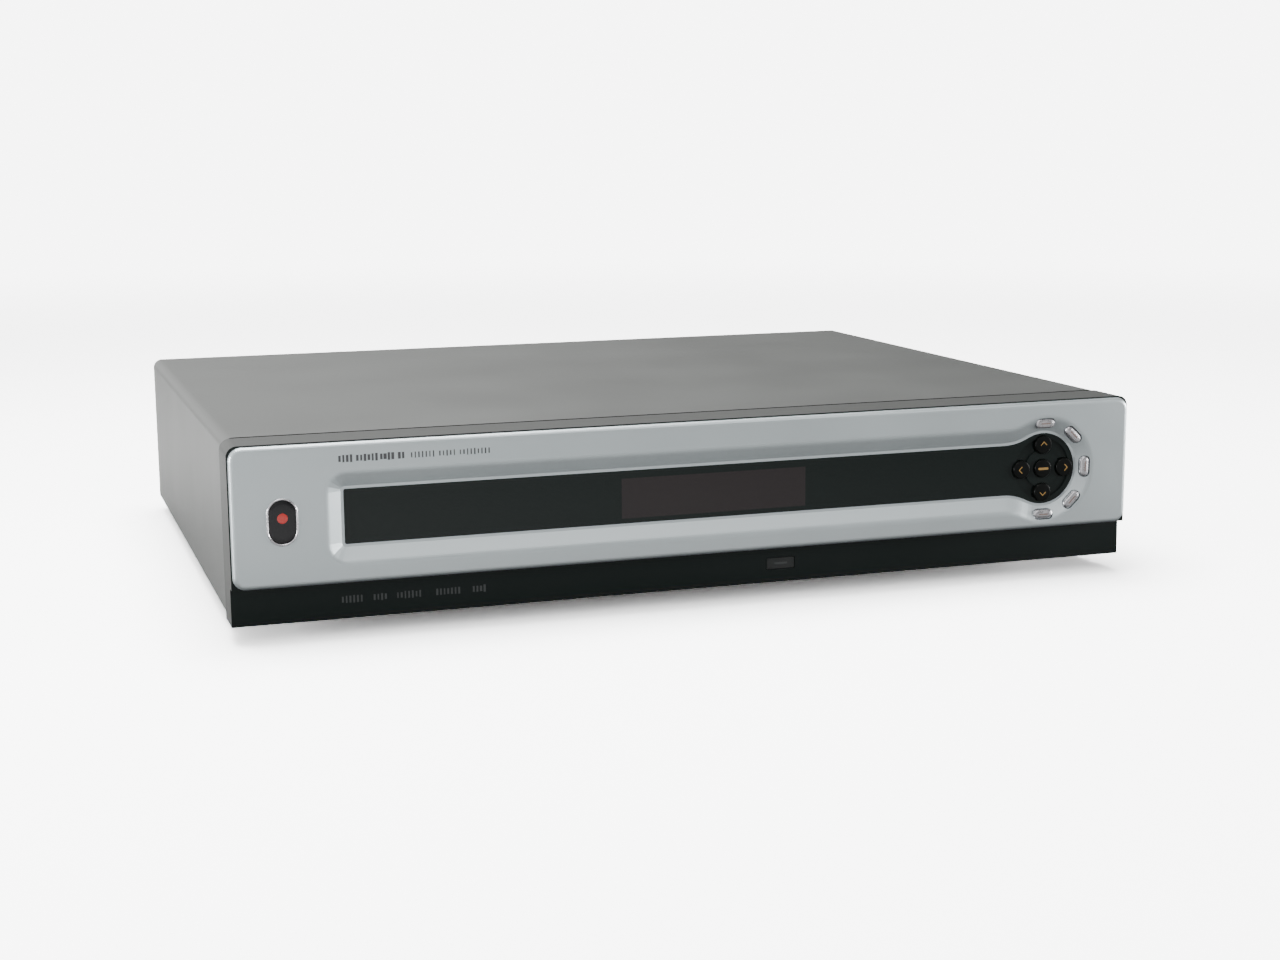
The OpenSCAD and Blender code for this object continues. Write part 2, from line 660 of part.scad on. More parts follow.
module modular_sockets() color([0.7, 0.71, 0.72]) {
    difference() {
        slab(network_x - 8, network_x + 8, y_inside - 15, y_panel + 0.8, z_parts, z_parts + 14);
        slab(network_x - 5.9, network_x + 5.9, y_inside - 11, y_panel + 2, z_parts + 4.4, z_parts + 11.4);
        slab(network_x - 3, network_x + 3, y_inside - 11, y_panel + 2, z_parts + 2.4, z_parts + 5);
    }
    difference() {
        slab(phone_x - 6.6, phone_x + 6.6, y_inside - 13, y_panel + 0.8, z_parts, z_parts + 13);
        slab(phone_x - 4.9, phone_x + 4.9, y_inside - 9, y_panel + 2, z_parts + 4.2, z_parts + 10.8);
        slab(phone_x - 2.5, phone_x + 2.5, y_inside - 9, y_panel + 2, z_parts + 2.4, z_parts + 5);
    }
}

module jack_block() color([0.1, 0.1, 0.1]) difference() {
    slab(jack_xs[0] - 7.5, jack_xs[2] + 7.5, y_inside - 12, y_inside, z_parts, jack_zs[2] + 7.5);
    for (x = jack_xs, z = jack_zs) rod_y(x, z, jack_r, y_inside - 10, y_inside + 1);
}

module jack_shells() color([0.8, 0.8, 0.79]) {
    for (x = jack_xs, z = jack_zs) difference() {
        union() {
            rod_y(x, z, jack_r, y_inside - 10, y_panel + 8.6);
            rod_y(x, z, 5.9, y_panel, y_panel + 0.8);
        }
        rod_y(x, z, 3.4, y_inside - 8, y_panel + 9);
    }
}

module jack_insert(column, row) {
    difference() {
        rod_y(jack_xs[column], jack_zs[row], 3.4, y_inside - 8, y_panel + 8);
        rod_y(jack_xs[column], jack_zs[row], 1.65, y_inside - 4, y_panel + 9);
    }
}

module red_inserts() color([0.75, 0.08, 0.08]) {
    for (c = [0, 1, 2]) jack_insert(c, 0);
}

module white_inserts() color([0.92, 0.92, 0.9]) {
    for (c = [1, 2]) jack_insert(c, 1);
}

module yellow_inserts() color([0.92, 0.78, 0.1]) {
    for (c = [1, 2]) jack_insert(c, 2);
}

module green_insert() color([0.1, 0.55, 0.2]) {
    jack_insert(0, 2);
}

module blue_insert() color([0.1, 0.25, 0.7]) {
    jack_insert(0, 1);
}

module s_video_socket() color([0.09, 0.09, 0.09]) difference() {
    z = z_parts + 8;
    union() {
        block(s_video_x, y_inside - 6, z_parts, 14, 12, 14.5);
        rod_y(s_video_x, z, 6, y_inside - 1, y_panel + 0.8);
    }
    difference() {
        rod_y(s_video_x, z, 4.7, y_panel - 6, y_panel + 2);
        rod_y(s_video_x, z, 3.8, y_panel - 7, y_panel);
    }
    for (p = [[-1.5, 1.2], [1.5, 1.2], [-2, -1], [2, -1]])
        rod_y(s_video_x + p[0], z + p[1], 0.5, y_panel - 4, y_panel + 2);
}

module control_jacks() color([0.11, 0.11, 0.11]) {
    for (z = control_zs) difference() {
        union() {
            block(s_video_x, y_inside - 7, z - 5.9, 11, 14, 11.8);
            rod_y(s_video_x, z, 4, y_inside - 1, y_panel + 1.2);
        }
        rod_y(s_video_x, z, 1.8, y_panel + 1.2 - 14, y_panel + 2);
    }
}

// ---------------------------------------------------------------- power and fan

module power_inlet() color([0.07, 0.07, 0.07]) translate([inlet_x, 0, inlet_z]) {
    depth = 11;
    difference() {
        union() {
            along_y(y_inside - depth - 2, y_panel) rounded2d(inlet[0] + 5, inlet[1] + 5, 1.5);
            along_y(y_panel, y_panel + 1.5) rounded2d(inlet[0] + 9, inlet[1] + 8, 2);
        }
        along_y(y_panel - depth, y_panel + 2) pill2d(inlet[0], inlet[1]);
    }
    for (s = [-1, 1]) rod_y(s * 4.3, 0, 1.2, y_panel - depth - 0.1, y_panel - 1);
}

module power_board() color([0.55, 0.42, 0.2]) difference() {
    slab(-203, -130, 32, y_inside - 4, z_board, z_parts);
    for (s = standoffs) rod_z(s[0], s[1], 1.7, z_board - 1, z_parts + 1);
}

module transformer() color([0.5, 0.42, 0.15]) {
    translate([-178, 98, z_parts]) {
        difference() {
            slab(-17, 17, -15, 15, 0, 30);
            slab(-12, 12, -16, 16, 5, 25);
        }
        slab(-9, 9, -19, 19, 5, 25);
    }
}

module power_heat_sinks() color([0.6, 0.62, 0.64]) {
    for (y = [84, 122]) {
        slab(-150, -148, y, y + 20, z_parts, z_parts + 34);
        for (i = [0:3]) slab(-148, -143, y + 5 * i, y + 1.5 + 5 * i, z_parts + 4, z_parts + 34);
    }
}

module fan_frame() color([0.08, 0.08, 0.09]) {
    front = y_inside - fan_d;
    translate([fan_x, 0, fan_z]) {
        difference() {
            along_y(front, y_inside) rounded2d(fan_w, fan_w, 3);
            rod_y(0, 0, fan_bore, front - 1, y_inside + 1);
            for (x = [-1, 1], z = [-1, 1]) rod_y(x * fan_hole, z * fan_hole, 2.1, front - 1, y_inside + 1);
        }
        rod_y(0, 0, fan_hub + 1, front, front + 3);
        for (a = [45:90:315]) rotate([0, a, 0])
            slab(-1.5, 1.5, front, front + 3, fan_hub, fan_bore + 1);
        rod_y(0, 0, 2, front + 2, y_inside - 4);
    }
}

module fan_rotor() color([0.12, 0.12, 0.13]) {
    blades = 7;
    front = y_inside - fan_d + 3.5;
    back = y_inside - 1.5;
    difference() {
        rod_y(fan_x, fan_z, fan_hub, front, back);
        rod_y(fan_x, fan_z, 2 + run_gap, front - 1, y_inside - 3.9);
    }
    for (i = [0:blades - 1]) translate([fan_x, (front + back) / 2, fan_z])
        rotate([0, i * 360 / blades, 0]) translate([0, 0, fan_hub - 1]) rotate([0, 0, 38])
            translate([-6, -0.6, 0]) cube([12, 1.2, fan_bore - fan_hub - 0.4]);
}

// ---------------------------------------------------------------- drive

module drive_hollow2d() {
    translate(spindle) circle(r = platter_r + 1.1);
    translate([drive_x + 16, drive_y + 10]) square([81, 58]);
}

module drive_case() color([0.6, 0.61, 0.62]) {
    floor_z = drive_z + 5;
    difference() {
        translate([drive_x, drive_y, drive_z]) cube(drive);
        translate([0, 0, floor_z]) linear_extrude(drive[2]) drive_hollow2d();
        for (s = [0, 1], y = [drive_y + 30, drive_y + 115])
            translate([drive_x + s * drive[0], y, drive_z + 6.5]) rotate([0, 90, 0])
                cylinder(r = 1.6, h = 6.2, center = true);
    }
    rod_z(spindle[0], spindle[1], 3, floor_z - 1, floor_z + 15);
    rod_z(pivot[0], pivot[1], 4, floor_z - 1, floor_z + 16);
}

module drive_lid() color([0.74, 0.75, 0.76]) {
    top = drive_z + drive[2];
    translate([drive_x, drive_y, top]) cube([drive[0], drive[1], drive_lid_t]);
}

module drive_platters() color([0.85, 0.86, 0.88]) difference() {
    union() {
        rod_z(spindle[0], spindle[1], 12.5, drive_z + 6, drive_z + 22.5);
        for (z = platter_zs) rod_z(spindle[0], spindle[1], platter_r, z, z + platter_t);
    }
    rod_z(spindle[0], spindle[1], 3 + run_gap, drive_z + 5, drive_z + 20.5);
}

module drive_arm() color([0.8, 0.8, 0.78]) {
    arm_zs = [platter_zs[0] - 1.6, platter_zs[0] + 2.7, platter_zs[1] + platter_t + 0.8];
    translate([pivot[0], pivot[1], 0]) rotate([0, 0, arm_rest]) difference() {
        union() {
            rod_z(0, 0, 8, drive_z + 6, drive_z + 20);
            for (z = arm_zs) translate([0, 0, z]) linear_extrude(0.8)
                polygon([[0, -6], [arm_l - 2, -1.5], [arm_l, -1.5], [arm_l, 1.5], [arm_l - 2, 1.5], [0, 6]]);
            translate([0, 0, drive_z + 11.5]) linear_extrude(3)
                polygon([[0, -6], [-20, -8], [-21.5, 0], [-20, 8], [0, 6]]);
        }
        rod_z(0, 0, 4 + run_gap, drive_z + 5, drive_z + 22);
    }
}

module drive_bracket() color([0.66, 0.67, 0.68]) difference() {
    z0 = z_base + 6;
    union() {
        slab(drive_x - 4, drive_x + drive[0] + 4, drive_y + 4, drive_y + drive[1] - 4, z0, z0 + 1);
        for (x = [drive_x - sheet_t, drive_x + drive[0]])
            slab(x, x + sheet_t, drive_y + 4, drive_y + drive[1] - 4, z0, drive_z + 14);
        for (x = [drive_x, drive_x + drive[0] - 6])
            slab(x, x + 6, drive_y + 4, drive_y + drive[1] - 4, z0 + 1, drive_z);
    }
    for (p = grommet_places()) rod_z(p[0], p[1], 2.5, z0 - 1, z0 + 3);
    for (x = [drive_x, drive_x + drive[0]], y = [drive_y + 30, drive_y + 115])
        translate([x, y, drive_z + 6.5]) rotate([0, 90, 0]) cylinder(r = 1.7, h = 4, center = true);
}

function grommet_places() = [for (x = [drive_x + 14, drive_x + drive[0] - 14],
    y = [drive_y + 20, drive_y + drive[1] - 20]) [x, y]];

module drive_grommets() color([0.2, 0.22, 0.4]) {
    z0 = z_base + 6;
    for (p = grommet_places()) {
        rod_z(p[0], p[1], 5, z_base, z0);
        rod_z(p[0], p[1], 2.5, z0, z0 + 1);
        rod_z(p[0], p[1], 4, z0 + 1, z0 + 3.5);
    }
}

// ---------------------------------------------------------------- cables

// A flat cable: a strip of thickness t that follows points in the YZ plane
module flat_cable(points, x0, x1, t) {
    translate([x1, 0, 0]) rotate([90, 0, -90]) linear_extrude(x1 - x0)
        polygon(concat([for (p = points) [-p[0], p[1]]],
            [for (i = [len(points) - 1:-1:0]) [-points[i][0], points[i][1] + t]]));
}

module ribbon_cable() color([0.75, 0.76, 0.78]) {
    y0 = y_front_board + board_t;
    flat_cable([[y0, z_floor + 30], [y0 + 8, z_floor + 29], [y0 + 26, z_floor + 27],
        [y0 + 60, z_floor + 18], [-40, z_parts + 12], [-32, z_parts + 8]], 95, 130, 0.9);
    slab(95, 130, -34, -28, z_parts, z_parts + 8);
}

module drive_cable() color([0.7, 0.12, 0.1]) {
    y0 = drive_y + drive[1];
    slab(drive_x + 62, drive_x + 76, y0, y0 + 8, drive_z + 3, drive_z + 9);
    translate([0, 0, drive_z + 5]) linear_extrude(1.2) polygon(concat(
        arc([drive_x + 83, y0 + 8], 16, 180, 90, 6), [[-62, y0 + 24], [-44, y0 + 4]],
        [[-40, y0 + 8], [-60, y0 + 32]], arc([drive_x + 83, y0 + 8], 24, 90, 161, 6)));
    slab(-46, -36, y0 - 2, y0 + 8, z_parts, z_parts + 8);
}

// Board to board, board to drive, and the fan's lead, each with its plugs
module power_harness() color([0.8, 0.7, 0.2]) {
    drive_back = drive_y + drive[1];
    fan_edge = fan_x + fan_w / 2;
    for (i = [0:3]) {
        slab(-134, -52, 50 + 2.5 * i, 51.8 + 2.5 * i, z_parts + 5, z_parts + 6.8);
        slab(drive_x + 32 + 4 * i, drive_x + 33.8 + 4 * i, drive_back + 7, drive_back + 14,
            z_parts + 10, z_parts + 11.8);
    }
    slab(-140, -134, 48, 61, z_parts, z_parts + 12);
    slab(-52, -46, 48, 61, z_parts, z_parts + 12);
    slab(drive_x + 28, drive_x + 50, drive_back, drive_back + 8, drive_z + 3, drive_z + 9);
    slab(drive_x + 28, drive_x + 50, drive_back + 13, drive_back + 19, z_parts, z_parts + 12);
    slab(fan_edge, fan_edge + 1.5, 130, y_inside - 8, z_parts + 6, z_parts + 7.5);
    slab(fan_edge, -50, 130, 131.5, z_parts + 6, z_parts + 7.5);
    slab(-50, -44, 127, 134.5, z_parts, z_parts + 8);
}

front_bezel();
face_plate();
display_window();
key_guide();
round_key(0);  // up_key
round_key(1);  // down_key
round_key(2);  // left_key
round_key(3);  // right_key
round_key(4);  // select_key
pill_key(0);  // top_pill_key
pill_key(1);  // upper_pill_key
pill_key(2);  // side_pill_key
pill_key(3);  // lower_pill_key
pill_key(4);  // bottom_pill_key
plinth_button();
badge();
display_module();
front_board();
key_switches();
top_cover();
chassis_base();
rear_panel();
feet();
foot_screws();
rear_screws();
inner_screws();
main_board();
main_chips();
heat_sink();
capacitors();
tuner_cans();
coax_sockets();
card_cage();
hdmi_socket();
usb_sockets();
modular_sockets();
jack_block();
jack_shells();
red_inserts();
white_inserts();
yellow_inserts();
green_insert();
blue_insert();
s_video_socket();
control_jacks();
power_inlet();
power_board();
transformer();
power_heat_sinks();
fan_frame();
fan_rotor();
drive_case();
drive_lid();
drive_platters();
drive_arm();
drive_bracket();
drive_grommets();
ribbon_cable();
drive_cable();
power_harness();
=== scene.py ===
# %% [markdown]
# # A digital video recorder
# The recorder is a low steel box with a silver face plate. Its exact solids come from
# the CAD frame, which also says how the keys, the fan and the drive move. This script
# gives every solid its finish and adds what a maker would print, plate or mould on it.

# %% Load the frame
import math

import bmesh
import bpy
from mathutils import Matrix, Vector


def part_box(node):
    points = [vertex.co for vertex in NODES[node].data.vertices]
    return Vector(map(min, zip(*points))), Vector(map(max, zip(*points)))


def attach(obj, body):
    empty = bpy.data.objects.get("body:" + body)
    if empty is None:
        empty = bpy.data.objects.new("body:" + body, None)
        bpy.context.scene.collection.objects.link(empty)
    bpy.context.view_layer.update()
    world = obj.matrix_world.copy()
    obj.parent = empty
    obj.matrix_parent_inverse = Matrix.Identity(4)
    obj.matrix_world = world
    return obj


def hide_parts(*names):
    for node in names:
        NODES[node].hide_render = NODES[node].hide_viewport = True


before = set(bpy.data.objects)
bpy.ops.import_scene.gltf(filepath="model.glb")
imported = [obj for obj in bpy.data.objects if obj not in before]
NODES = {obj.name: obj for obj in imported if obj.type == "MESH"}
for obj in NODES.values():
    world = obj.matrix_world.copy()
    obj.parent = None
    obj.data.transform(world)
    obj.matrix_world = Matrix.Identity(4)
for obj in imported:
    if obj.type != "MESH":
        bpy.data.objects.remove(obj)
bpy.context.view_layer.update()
ROOT = "recorder"
MM = 0.001

# %% [markdown]
# ## The camera
# The recorder is seen from its left, a little from above, by a lens of about 56 mm.
# A camera looks down its own -Z axis, so the three columns of its matrix are its right,
# its up and the direction behind it.

# %% Camera
AZIMUTH, ELEVATION, ROLL = math.radians(-18.56), math.radians(10.11), math.radians(-0.44)
EYE = Vector((-0.30582, -0.98186, 0.21281))
back = Vector((math.sin(AZIMUTH) * math.cos(ELEVATION),
               -math.cos(AZIMUTH) * math.cos(ELEVATION), math.sin(ELEVATION)))
side = (-back).cross(Vector((0, 0, 1))).normalized()
rise = side.cross(-back)
right = side * math.cos(ROLL) + rise * math.sin(ROLL)
up = rise * math.cos(ROLL) - side * math.sin(ROLL)
camera_data = bpy.data.cameras.new("camera")
camera_data.sensor_width = 36
camera_data.lens = 56.456
camera_data.clip_end = 50
camera = bpy.data.objects.new("camera", camera_data)
bpy.context.scene.collection.objects.link(camera)
camera.matrix_world = Matrix((
    (right.x, up.x, back.x, EYE.x),
    (right.y, up.y, back.y, EYE.y),
    (right.z, up.z, back.z, EYE.z),
    (0, 0, 0, 1)))
bpy.context.scene.camera = camera
print("camera at", [round(v, 3) for v in EYE])

# %% [markdown]
# ## Floor and light
# A satin box shows its form by what it reflects, so the studio is planned for that. A wide
# panel overhead lights the plate's top edge, a dim one high in front the lower wall of the
# hollow, a large one on the left the side wall and the left bevel. A small bright one low
# on the right catches the hollow's end, and a faint one behind fills the sockets. The sky
# is lighter on the left than on the right. Floor and backdrop are one white sweep: the
# floor fades into the sky, and both look brighter to the camera than the light that they
# throw, as overexposed paper does. The floor's colour for the light it throws is painted
# light: it throws more on the left than on the right. That light is also dimmed close in
# front of the plinth and beside the left wall, as painted shade where the recorder's own
# shadow falls on the floor.

# %% A sky that is lighter on the left
PAPER_WHITE = 7.0
SKY_LEFT, SKY_RIGHT = 1.15, 0.16


def math_node(tree, operation, a, b, clamp=False):
    """A Math node; a and b are numbers or outputs."""
    node = tree.nodes.new("ShaderNodeMath")
    node.operation = operation
    node.use_clamp = clamp
    for socket, value in zip(node.inputs, (a, b)):
        if isinstance(value, (int, float)):
            socket.default_value = value
        else:
            tree.links.new(value, socket)
    return node.outputs["Value"]


def fade(tree, source, start, end, low=0.0, high=1.0):
    """Turns source, as it runs from start to end, smoothly into low to high."""
    node = tree.nodes.new("ShaderNodeMapRange")
    node.interpolation_type = "SMOOTHSTEP"
    for name, value in (("From Min", start), ("From Max", end), ("To Min", low), ("To Max", high)):
        node.inputs[name].default_value = value
    tree.links.new(source, node.inputs["Value"])
    return node.outputs["Result"]


def for_the_camera(tree, seen, thrown):
    """Gives seen to what the camera sees directly, and thrown to every other ray."""
    path = tree.nodes.new("ShaderNodeLightPath")
    node = tree.nodes.new("ShaderNodeMix")
    tree.links.new(path.outputs["Is Camera Ray"], node.inputs["Factor"])
    for socket, value in ((node.inputs["A"], thrown), (node.inputs["B"], seen)):
        if isinstance(value, (int, float)):
            socket.default_value = value
        else:
            tree.links.new(value, socket)
    return node.outputs["Result"]


world = bpy.data.worlds.new("world")
bpy.context.scene.world = world
world.use_nodes = True
sky_tree = world.node_tree
direction = sky_tree.nodes.new("ShaderNodeTexCoord")
split = sky_tree.nodes.new("ShaderNodeSeparateXYZ")
sky_tree.links.new(direction.outputs["Generated"], split.inputs["Vector"])
glow = fade(sky_tree, split.outputs["X"], -0.4, 0.5, SKY_LEFT, SKY_RIGHT)
sky_tree.links.new(for_the_camera(sky_tree, PAPER_WHITE, glow),
                   sky_tree.nodes["Background"].inputs["Strength"])
sky_tree.nodes["Background"].inputs["Color"].default_value = (1, 1, 1, 1)

# %% The floor
FLOOR_SIDE = 14
FLOOR_SEEN = 3.0
THROWN_LEFT, THROWN_RIGHT, THROWN_FAR = 0.5, 0.17, 0.6
SHADE_BESIDE = SHADE_IN_FRONT = 0.55
floor_mesh = bpy.data.meshes.new("floor")
floor_mesh.from_pydata([(-FLOOR_SIDE, -FLOOR_SIDE, 0), (FLOOR_SIDE, -FLOOR_SIDE, 0),
                        (FLOOR_SIDE, FLOOR_SIDE, 0), (-FLOOR_SIDE, FLOOR_SIDE, 0)],
                       [], [(0, 1, 2, 3)])
floor = bpy.data.objects.new("floor", floor_mesh)
bpy.context.scene.collection.objects.link(floor)
paper = bpy.data.materials.new("floor_paper")
paper.use_nodes = True
tree = paper.node_tree
tree.nodes.clear()
spot = tree.nodes.new("ShaderNodeTexCoord")
reach = tree.nodes.new("ShaderNodeVectorMath")
reach.operation = "LENGTH"
tree.links.new(spot.outputs["Object"], reach.inputs[0])
matte = tree.nodes.new("ShaderNodeBsdfDiffuse")
across = tree.nodes.new("ShaderNodeSeparateXYZ")
tree.links.new(spot.outputs["Object"], across.inputs["Vector"])
# Painted light: the floor throws more light on the left than on the right.
thrown = fade(tree, across.outputs["X"], -0.35, 0.45, THROWN_LEFT, THROWN_RIGHT)
floor_y = across.outputs["Y"]
# Painted shade: the light the floor throws is dimmed beside the left wall and close in front of the
# plinth, where the recorder's own shadow falls.
beside = fade(tree, across.outputs["X"], -0.38, -0.23)
beside = math_node(tree, "MULTIPLY", beside, fade(tree, floor_y, -0.24, -0.16))
beside = math_node(tree, "MULTIPLY", beside, fade(tree, floor_y, 0.05, 0.4, 1.0, 0.0))
in_front = math_node(tree, "MULTIPLY", fade(tree, floor_y, -0.36, -0.22, 0.05, SHADE_IN_FRONT),
                     fade(tree, floor_y, -0.2, -0.12, 1.0, 0.0))
painted_floor_shade = math_node(tree, "ADD", math_node(tree, "MULTIPLY", beside, SHADE_BESIDE), in_front, clamp=True)
thrown = math_node(tree, "MULTIPLY", thrown, math_node(tree, "SUBTRACT", 1.0, painted_floor_shade))
tree.links.new(for_the_camera(tree, FLOOR_SEEN, thrown), matte.inputs["Color"])
far = tree.nodes.new("ShaderNodeEmission")
tree.links.new(for_the_camera(tree, PAPER_WHITE, THROWN_FAR), far.inputs["Strength"])
blend = tree.nodes.new("ShaderNodeMixShader")
tree.links.new(fade(tree, reach.outputs["Value"], 0.5, 2.2), blend.inputs["Fac"])
tree.links.new(matte.outputs["BSDF"], blend.inputs[1])
tree.links.new(far.outputs["Emission"], blend.inputs[2])
output = tree.nodes.new("ShaderNodeOutputMaterial")
tree.links.new(blend.outputs["Shader"], output.inputs["Surface"])
floor_mesh.materials.append(paper)

# %% Light panels
def panel(name, place, target, size, glow):
    """An area light whose surface has radiance glow, so its power follows its size."""
    data = bpy.data.lights.new(name, "AREA")
    data.shape = "RECTANGLE"
    data.size, data.size_y = size
    data.energy = glow * math.pi * size[0] * size[1]
    lamp = bpy.data.objects.new(name, data)
    lamp.location = place
    aim = Vector(target) - Vector(place)
    lamp.rotation_euler = aim.to_track_quat("-Z", "Y").to_euler()
    bpy.context.scene.collection.objects.link(lamp)
    return lamp


panel("overhead_panel", (-0.15, 0.05, 1.45), (-0.05, -0.1, 0.05), (1.3, 1.0), 11)
panel("front_panel", (0.5, -1.74, 1.35), (0.0, -0.1, 0.05), (1.6, 1.0), 1.4)
panel("left_panel", (-1.6, -0.4, 0.2), (-0.15, -0.1, 0.03), (0.8, 0.4), 28)
panel("right_panel", (2.2, -0.8, 0.2), (-0.16, -0.17, 0.05), (1.1, 0.4), 62)
panel("back_panel", (0.5, 1.7, 1.7), (0.0, 0.1, 0.05), (1.0, 0.8), 1.5)

# %% [markdown]
# ## Finishes
# Every finish is a small node tree. A uniform colour or roughness sits on the shader's
# own socket. What varies over the surface comes from noise in Object coordinates, so
# that it stays in place from every side.

# %% A finish
def finish(name, colour, roughness=0.5, metallic=0.0, coat=0.0, specular=0.5, ior=1.45):
    """A material with its shader, and a texture coordinate node to build on."""
    mat = bpy.data.materials.new(name)
    mat.use_nodes = True
    nodes = mat.node_tree.nodes
    shader = nodes["Principled BSDF"]
    shader.inputs["Base Color"].default_value = (*colour, 1)
    shader.inputs["Roughness"].default_value = roughness
    shader.inputs["Metallic"].default_value = metallic
    shader.inputs["Coat Weight"].default_value = coat
    shader.inputs["Coat Roughness"].default_value = 0.08
    shader.inputs["Specular IOR Level"].default_value = specular
    shader.inputs["IOR"].default_value = ior
    place = nodes.new("ShaderNodeTexCoord")
    place.name = "place"
    return mat


def noise(mat, scale, detail=2.0, stretch=(1, 1, 1)):
    """The output of a noise texture in Object coordinates; scale is in lumps per metre."""
    nodes, links = mat.node_tree.nodes, mat.node_tree.links
    mapping = nodes.new("ShaderNodeMapping")
    mapping.inputs["Scale"].default_value = stretch
    texture = nodes.new("ShaderNodeTexNoise")
    texture.inputs["Scale"].default_value = scale
    texture.inputs["Detail"].default_value = detail
    links.new(nodes["place"].outputs["Object"], mapping.inputs["Vector"])
    links.new(mapping.outputs["Vector"], texture.inputs["Vector"])
    return texture.outputs["Fac"]


def ramp(mat, source, low, high, from_low=0.3, from_high=0.7):
    """Maps a 0-to-1 output to a range of numbers."""
    node = mat.node_tree.nodes.new("ShaderNodeMapRange")
    node.inputs["From Min"].default_value = from_low
    node.inputs["From Max"].default_value = from_high
    node.inputs["To Min"].default_value = low
    node.inputs["To Max"].default_value = high
    mat.node_tree.links.new(source, node.inputs["Value"])
    return node.outputs["Result"]


def bumped(mat, source, height, strength=0.5):
    """Adds a bump; several bumps chain one after another."""
    nodes, links = mat.node_tree.nodes, mat.node_tree.links
    node = nodes.new("ShaderNodeBump")
    node.inputs["Strength"].default_value = strength
    node.inputs["Distance"].default_value = height
    links.new(source, node.inputs["Height"])
    normal = nodes["Principled BSDF"].inputs["Normal"]
    if normal.is_linked:
        links.new(normal.links[0].from_socket, node.inputs["Normal"])
    links.new(node.outputs["Normal"], normal)


def rough_by(mat, source):
    mat.node_tree.links.new(source, mat.node_tree.nodes["Principled BSDF"].inputs["Roughness"])


def mottled(mat, source, colour, other):
    """Blends the base colour between two colours by a 0-to-1 output."""
    nodes, links = mat.node_tree.nodes, mat.node_tree.links
    node = nodes.new("ShaderNodeMix")
    node.data_type = "RGBA"
    node.inputs["A"].default_value = (*colour, 1)
    node.inputs["B"].default_value = (*other, 1)
    links.new(source, node.inputs["Factor"])
    links.new(node.outputs["Result"], nodes["Principled BSDF"].inputs["Base Color"])
    return node


def shade(colour, factor):
    return tuple(c * factor for c in colour)


# %% [markdown]
# ### Paint and plating
# The cover is baked satin paint with fine metal flake: a slow variation of roughness and a
# very fine grain break its reflections. The face plate is a brighter silver paint with a
# clear coat. Both are metallic shaders with a good deal of roughness.

# %% Cover and face plate
COVER_GREY = (0.243, 0.251, 0.243)
cover_paint = finish("cover_paint", COVER_GREY, 0.34, metallic=0.85, specular=0.3)
rough_by(cover_paint, ramp(cover_paint, noise(cover_paint, 14, 3), 0.31, 0.36))
bumped(cover_paint, noise(cover_paint, 2600, 2), 0.00004, 0.3)

PLATE_SILVER = (0.50, 0.553, 0.568)
plate_paint = finish("plate_paint", PLATE_SILVER, 0.3, metallic=0.75, coat=0.3, specular=0.4)
rough_by(plate_paint, ramp(plate_paint, noise(plate_paint, 22, 3), 0.34, 0.39))
bumped(plate_paint, noise(plate_paint, 3000, 2), 0.00003, 0.25)
print("painted finishes ready")

# %% [markdown]
# The front moulding is painted like the cover on its top and sides, but its front face, the
# plinth and the groove before the cover are left black. The cover's cut front edge is painted
# dark: painted shade for the shadow line in the seam groove.
# A mask built from the place on the piece picks the colour: no image and no second
# material, so the border stays sharp at any distance.

# %% Masks by place
def step_at(mat, axis, edge, soft=0.0001, above=True):
    """1 where the Object coordinate axis is above edge (or below it), 0 elsewhere."""
    tree = mat.node_tree
    if "axes" not in tree.nodes:
        axes = tree.nodes.new("ShaderNodeSeparateXYZ")
        axes.name = "axes"
        tree.links.new(tree.nodes["place"].outputs["Object"], axes.inputs["Vector"])
    low, high = (0, 1) if above else (1, 0)
    return fade(tree, tree.nodes["axes"].outputs[axis], edge - soft, edge + soft, low, high)


def both(mat, *masks):
    """The product of several masks."""
    result = masks[0]
    for mask in masks[1:]:
        result = math_node(mat.node_tree, "MULTIPLY", result, mask)
    return result


Z_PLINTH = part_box("face_plate")[0].z
Y_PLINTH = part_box("front_bezel")[0].y + 0.0052
MOULDING_BLACK = (0.0085, 0.012, 0.0112)
bezel_paint = finish("bezel_paint", COVER_GREY, 0.38, metallic=0.3, specular=0.25)
bare_front = step_at(bezel_paint, "Y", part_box("front_bezel")[0].y + 0.0006, above=False)
bare_plinth = both(bezel_paint, step_at(bezel_paint, "Y", Y_PLINTH, above=False),
                   step_at(bezel_paint, "Z", Z_PLINTH, above=False))
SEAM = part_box("front_bezel")[0].y + 0.0224
bare_groove = step_at(bezel_paint, "Y", SEAM + 0.0001, 0.00005)
bare = math_node(bezel_paint.node_tree, "MAXIMUM", bare_front, bare_plinth)
bare = math_node(bezel_paint.node_tree, "MAXIMUM", bare, bare_groove)
mottled(bezel_paint, bare, shade(COVER_GREY, 0.32), MOULDING_BLACK)
rough_by(bezel_paint, ramp(bezel_paint, noise(bezel_paint, 18, 3), 0.32, 0.4))
bumped(bezel_paint, noise(bezel_paint, 2200, 2), 0.00003, 0.3)
# The cover's cut front edge is painted dark as painted shade, the shadow line of the seam groove.
painted_shade_cut_edge = step_at(cover_paint, "Y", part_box("top_cover")[0].y + 0.0002, 0.00005, above=False)
mottled(cover_paint, painted_shade_cut_edge, COVER_GREY, shade(COVER_GREY, 0.12))
print("plinth starts below", round(Z_PLINTH / MM, 1), "mm")

# %% [markdown]
# ### Plastics, metals and boards
# The rest are everyday finishes: moulded plastics with a fine spark texture, zinc-plated
# and tinned sheet with a crystal pattern, aluminium with a drawn grain, green boards.

# %% Plastics
def plastic(name, colour, roughness, grain=1800, depth=0.00003, coat=0.0, specular=0.5):
    mat = finish(name, colour, roughness, coat=coat, specular=specular)
    spread = roughness * 0.12
    rough_by(mat, ramp(mat, noise(mat, 30, 3), roughness - spread, roughness + spread))
    bumped(mat, noise(mat, grain, 2), depth, 0.4)
    return mat


